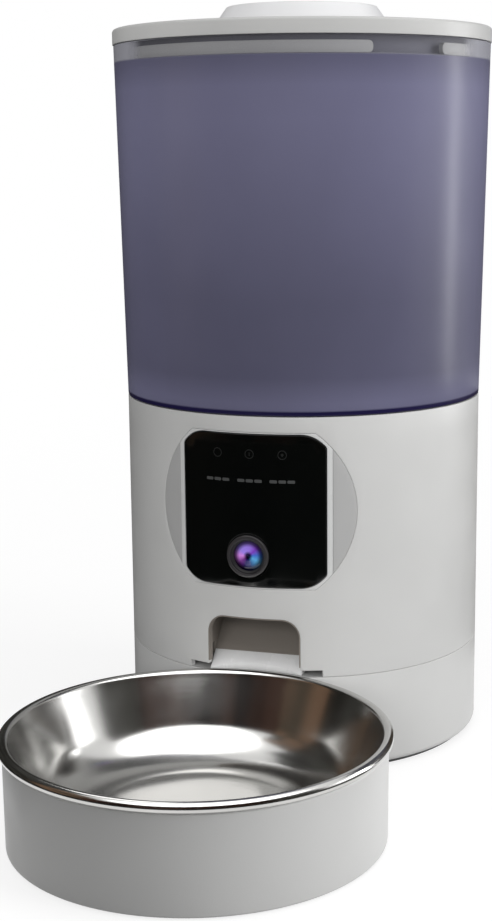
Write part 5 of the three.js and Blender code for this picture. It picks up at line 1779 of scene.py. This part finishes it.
@dataclass
class Studio:
    """Pale floor, soft lamps, white surroundings and the camera."""

    ambient: float = 0.355
    bounce: float = 0.3
    glow: float = 0.6
    glow_strength: float = 1.24
    fade: Point = (0.35, 1.3)
    floor_half: float = 4.0
    paper: Point = (0.84, 0.87)
    lamps: tuple[Lamp, ...] = (
        Lamp("key", (1.38, -0.12, 0.5), (0.0, 0.0, 0.12), (0.9, 0.8), 12.4),
        Lamp("fill", (0.0, -1.5, 0.6), (0.0, 0.0, 0.2), (1.2, 0.6), 8.0, spared=("holder_body",)),
        Lamp("left", (-1.3, -0.5, 0.45), (0.0, 0.08, 0.3), (0.8, 0.8), 4.1,
             only=("lid_shell", "lid_grip", "tank_wall")),
        Lamp("top", (0.0, 0.1, 1.35), (0.0, 0.0, 0.1), (1.3, 0.75), 4.5),
        Lamp("strip", (1.0, 0.72, 0.34), (0.0, 0.08, 0.25), (0.36, 0.95), 5.5, Task.SHINE),
        Lamp("side_window", (1.06, 0.33, 0.32), BOWL_SPOT, (0.5, 0.36), 0.9, Task.SHINE, ("bowl_shell",)),
        Lamp("high_window", (0.265, -0.55, 1.21), BOWL_SPOT, (2.15, 1.55), 14.5, Task.SHINE, ("bowl_shell",)),
        Lamp("rear_window", (-0.48, 0.48, 1.09), BOWL_SPOT, (0.55, 0.4), 1.2, Task.SHINE, ("bowl_shell",)),
    )
    screens: tuple[Screen, ...] = (
        Screen("screen_floor", ((0.19, 0.001), (FAR, 0.001)), -170.0, 120.0,
               (0.02, 0.018, 0.016), (0.03, 0.028, 0.024)),
        Screen("screen_front", ((FAR, 0.002), (FAR, 0.95)), -45.0, 62.0,
               (0.012, 0.007, 0.006), (0.1, 0.05, 0.035)),
        Screen("screen_warm", ((FAR, 0.002), (FAR, 1.5)), -78.0, -45.0,
               (0.36, 0.22, 0.14), (0.12, 0.1, 0.075)),
        Screen("screen_left", ((FAR, 0.002), (FAR, 2.1)), -170.0, -78.0,
               (0.035, 0.034, 0.03), (0.08, 0.078, 0.07)),
        Screen("screen_gap", ((FAR, 0.002), (FAR, 1.0)), 62.0, 92.0,
               (0.05, 0.05, 0.042), (0.13, 0.125, 0.11)),
        Screen("screen_right", ((0.33, 0.004), (0.33, 0.16)), 124.0, 166.0,
               (0.08, 0.07, 0.06), (0.15, 0.12, 0.09)),
        Screen("screen_back", ((FAR, 0.002), (FAR, 1.2)), 128.0, 190.0, (0.1, 0.1, 0.12), (0.18, 0.18, 0.22)),
    )
    focal: float = 1666.42
    width: float = 492.0
    height: float = 921.0
    axis: Point = (285.07, 460.51)
    distance: float = 0.88219
    camera_height: float = 0.30752
    azimuth: float = 16.24
    yaw: float = 0.65
    pitch: float = 10.64
    roll: float = -0.37

    def build(self) -> None:
        """Sets up the floor, the lamps, the surroundings and the camera."""
        self.floor()
        for lamp in self.lamps:
            lamp.light()
        for screen in self.screens:
            screen.stand()
        self.surroundings()
        self.camera()
        bpy.context.scene.view_settings.view_transform = "Standard"

    def floor(self) -> None:
        """Lays the pale floor, which the camera sees white but for the object's shadow."""
        data, half = bpy.data.meshes.new("floor"), self.floor_half
        data.from_pydata([(-half, -half, 0), (half, -half, 0), (half, half, 0), (-half, half, 0)], [],
                         [(0, 1, 2, 3)])
        shader = Shader("floor_paper")
        matt = shader.node("ShaderNodeLightPath").outputs["Is Diffuse Ray"]
        paper = shader.blend(shader.noise(6.0), *(tint((tone,) * 3) for tone in self.paper))
        shader.set(Base_Color=shader.blend(matt, paper, tint((self.bounce,) * 3)),
                   Roughness=shader.span(shader.noise(40.0), 0.85, 0.95), Specular_IOR_Level=0.1)
        reach = shader.reach(shader.object)
        glow = shader.node("ShaderNodeEmission", Color=(1, 1, 1, 1),
                           Strength=shader.span(reach, self.glow_strength, 1.0, *self.fade))
        share = shader.maths("MULTIPLY", shader.seen(), shader.span(reach, self.glow, 1.0, *self.fade))
        mix = shader.node("ShaderNodeMixShader", i0=share, i1=shader.main.outputs[0], i2=glow.outputs[0])
        shader.plug(shader.tree.nodes["Material Output"], "Surface", mix.outputs[0])
        data.materials.append(shader.material)
        placed("floor", data)

    def surroundings(self) -> None:
        """Lights from all round at the ambient level, and shows white to the camera, gloss and glass."""
        world = bpy.data.worlds.new("studio")
        bpy.context.scene.world = world
        world.use_nodes = True
        graph = Graph(world.node_tree)
        sky = graph.tree.nodes["Background"]
        graph.plug(sky, "Color", (1, 1, 1, 1))
        graph.plug(sky, "Strength", graph.span(graph.seen(), self.ambient, 1.0, 0.0, 1.0))

    def camera(self) -> None:
        """Sets the camera where the photograph was taken from."""
        data = bpy.data.cameras.new("camera")
        data.lens = self.focal * data.sensor_width / self.height
        data.shift_x = (self.width / 2 - self.axis[0]) / self.height
        data.shift_y = (self.axis[1] - self.height / 2) / self.height
        data.clip_start, data.clip_end = 0.05, 20.0
        turn, pitch, roll = (math.radians(a) for a in (self.yaw + self.azimuth, self.pitch, self.roll))
        level = math.cos(pitch)
        ahead = Vector((-math.sin(turn) * level, math.cos(turn) * level, -math.sin(pitch)))
        side = Vector((math.cos(turn), math.sin(turn), 0.0))
        over = side.cross(ahead)
        right = side * math.cos(roll) + over * math.sin(roll)
        over = over * math.cos(roll) - side * math.sin(roll)
        around = math.radians(self.azimuth)
        place = Vector((self.distance * math.sin(around), TOWER * MM - self.distance * math.cos(around),
                        self.camera_height))
        thing = placed("camera", data)
        thing.matrix_world = Matrix.Translation(place) @ Matrix((right, over, -ahead)).transposed().to_4x4()
        bpy.context.scene.camera = thing


def corners(bounds: Sequence[Sequence[float]]) -> list[list[float]]:
    """Returns a pair of corners as plain lists of numbers."""
    return [[float(value) for value in corner] for corner in bounds]


def main() -> None:
    """Builds the feeder's sub-assemblies in order, then the studio."""
    logging.basicConfig(level=logging.INFO, format="%(message)s")
    bpy.context.view_layer.update()
    for part in (Tower(), ControlPanel(), ChuteFoot(), Works(), Tank(), Lid(), Dish()):
        log.info("building %s", type(part).__name__)
        part.build()
    Fittings().dress()
    Studio().build()
    bpy.context.view_layer.update()


if __name__ == "__main__":
    main()
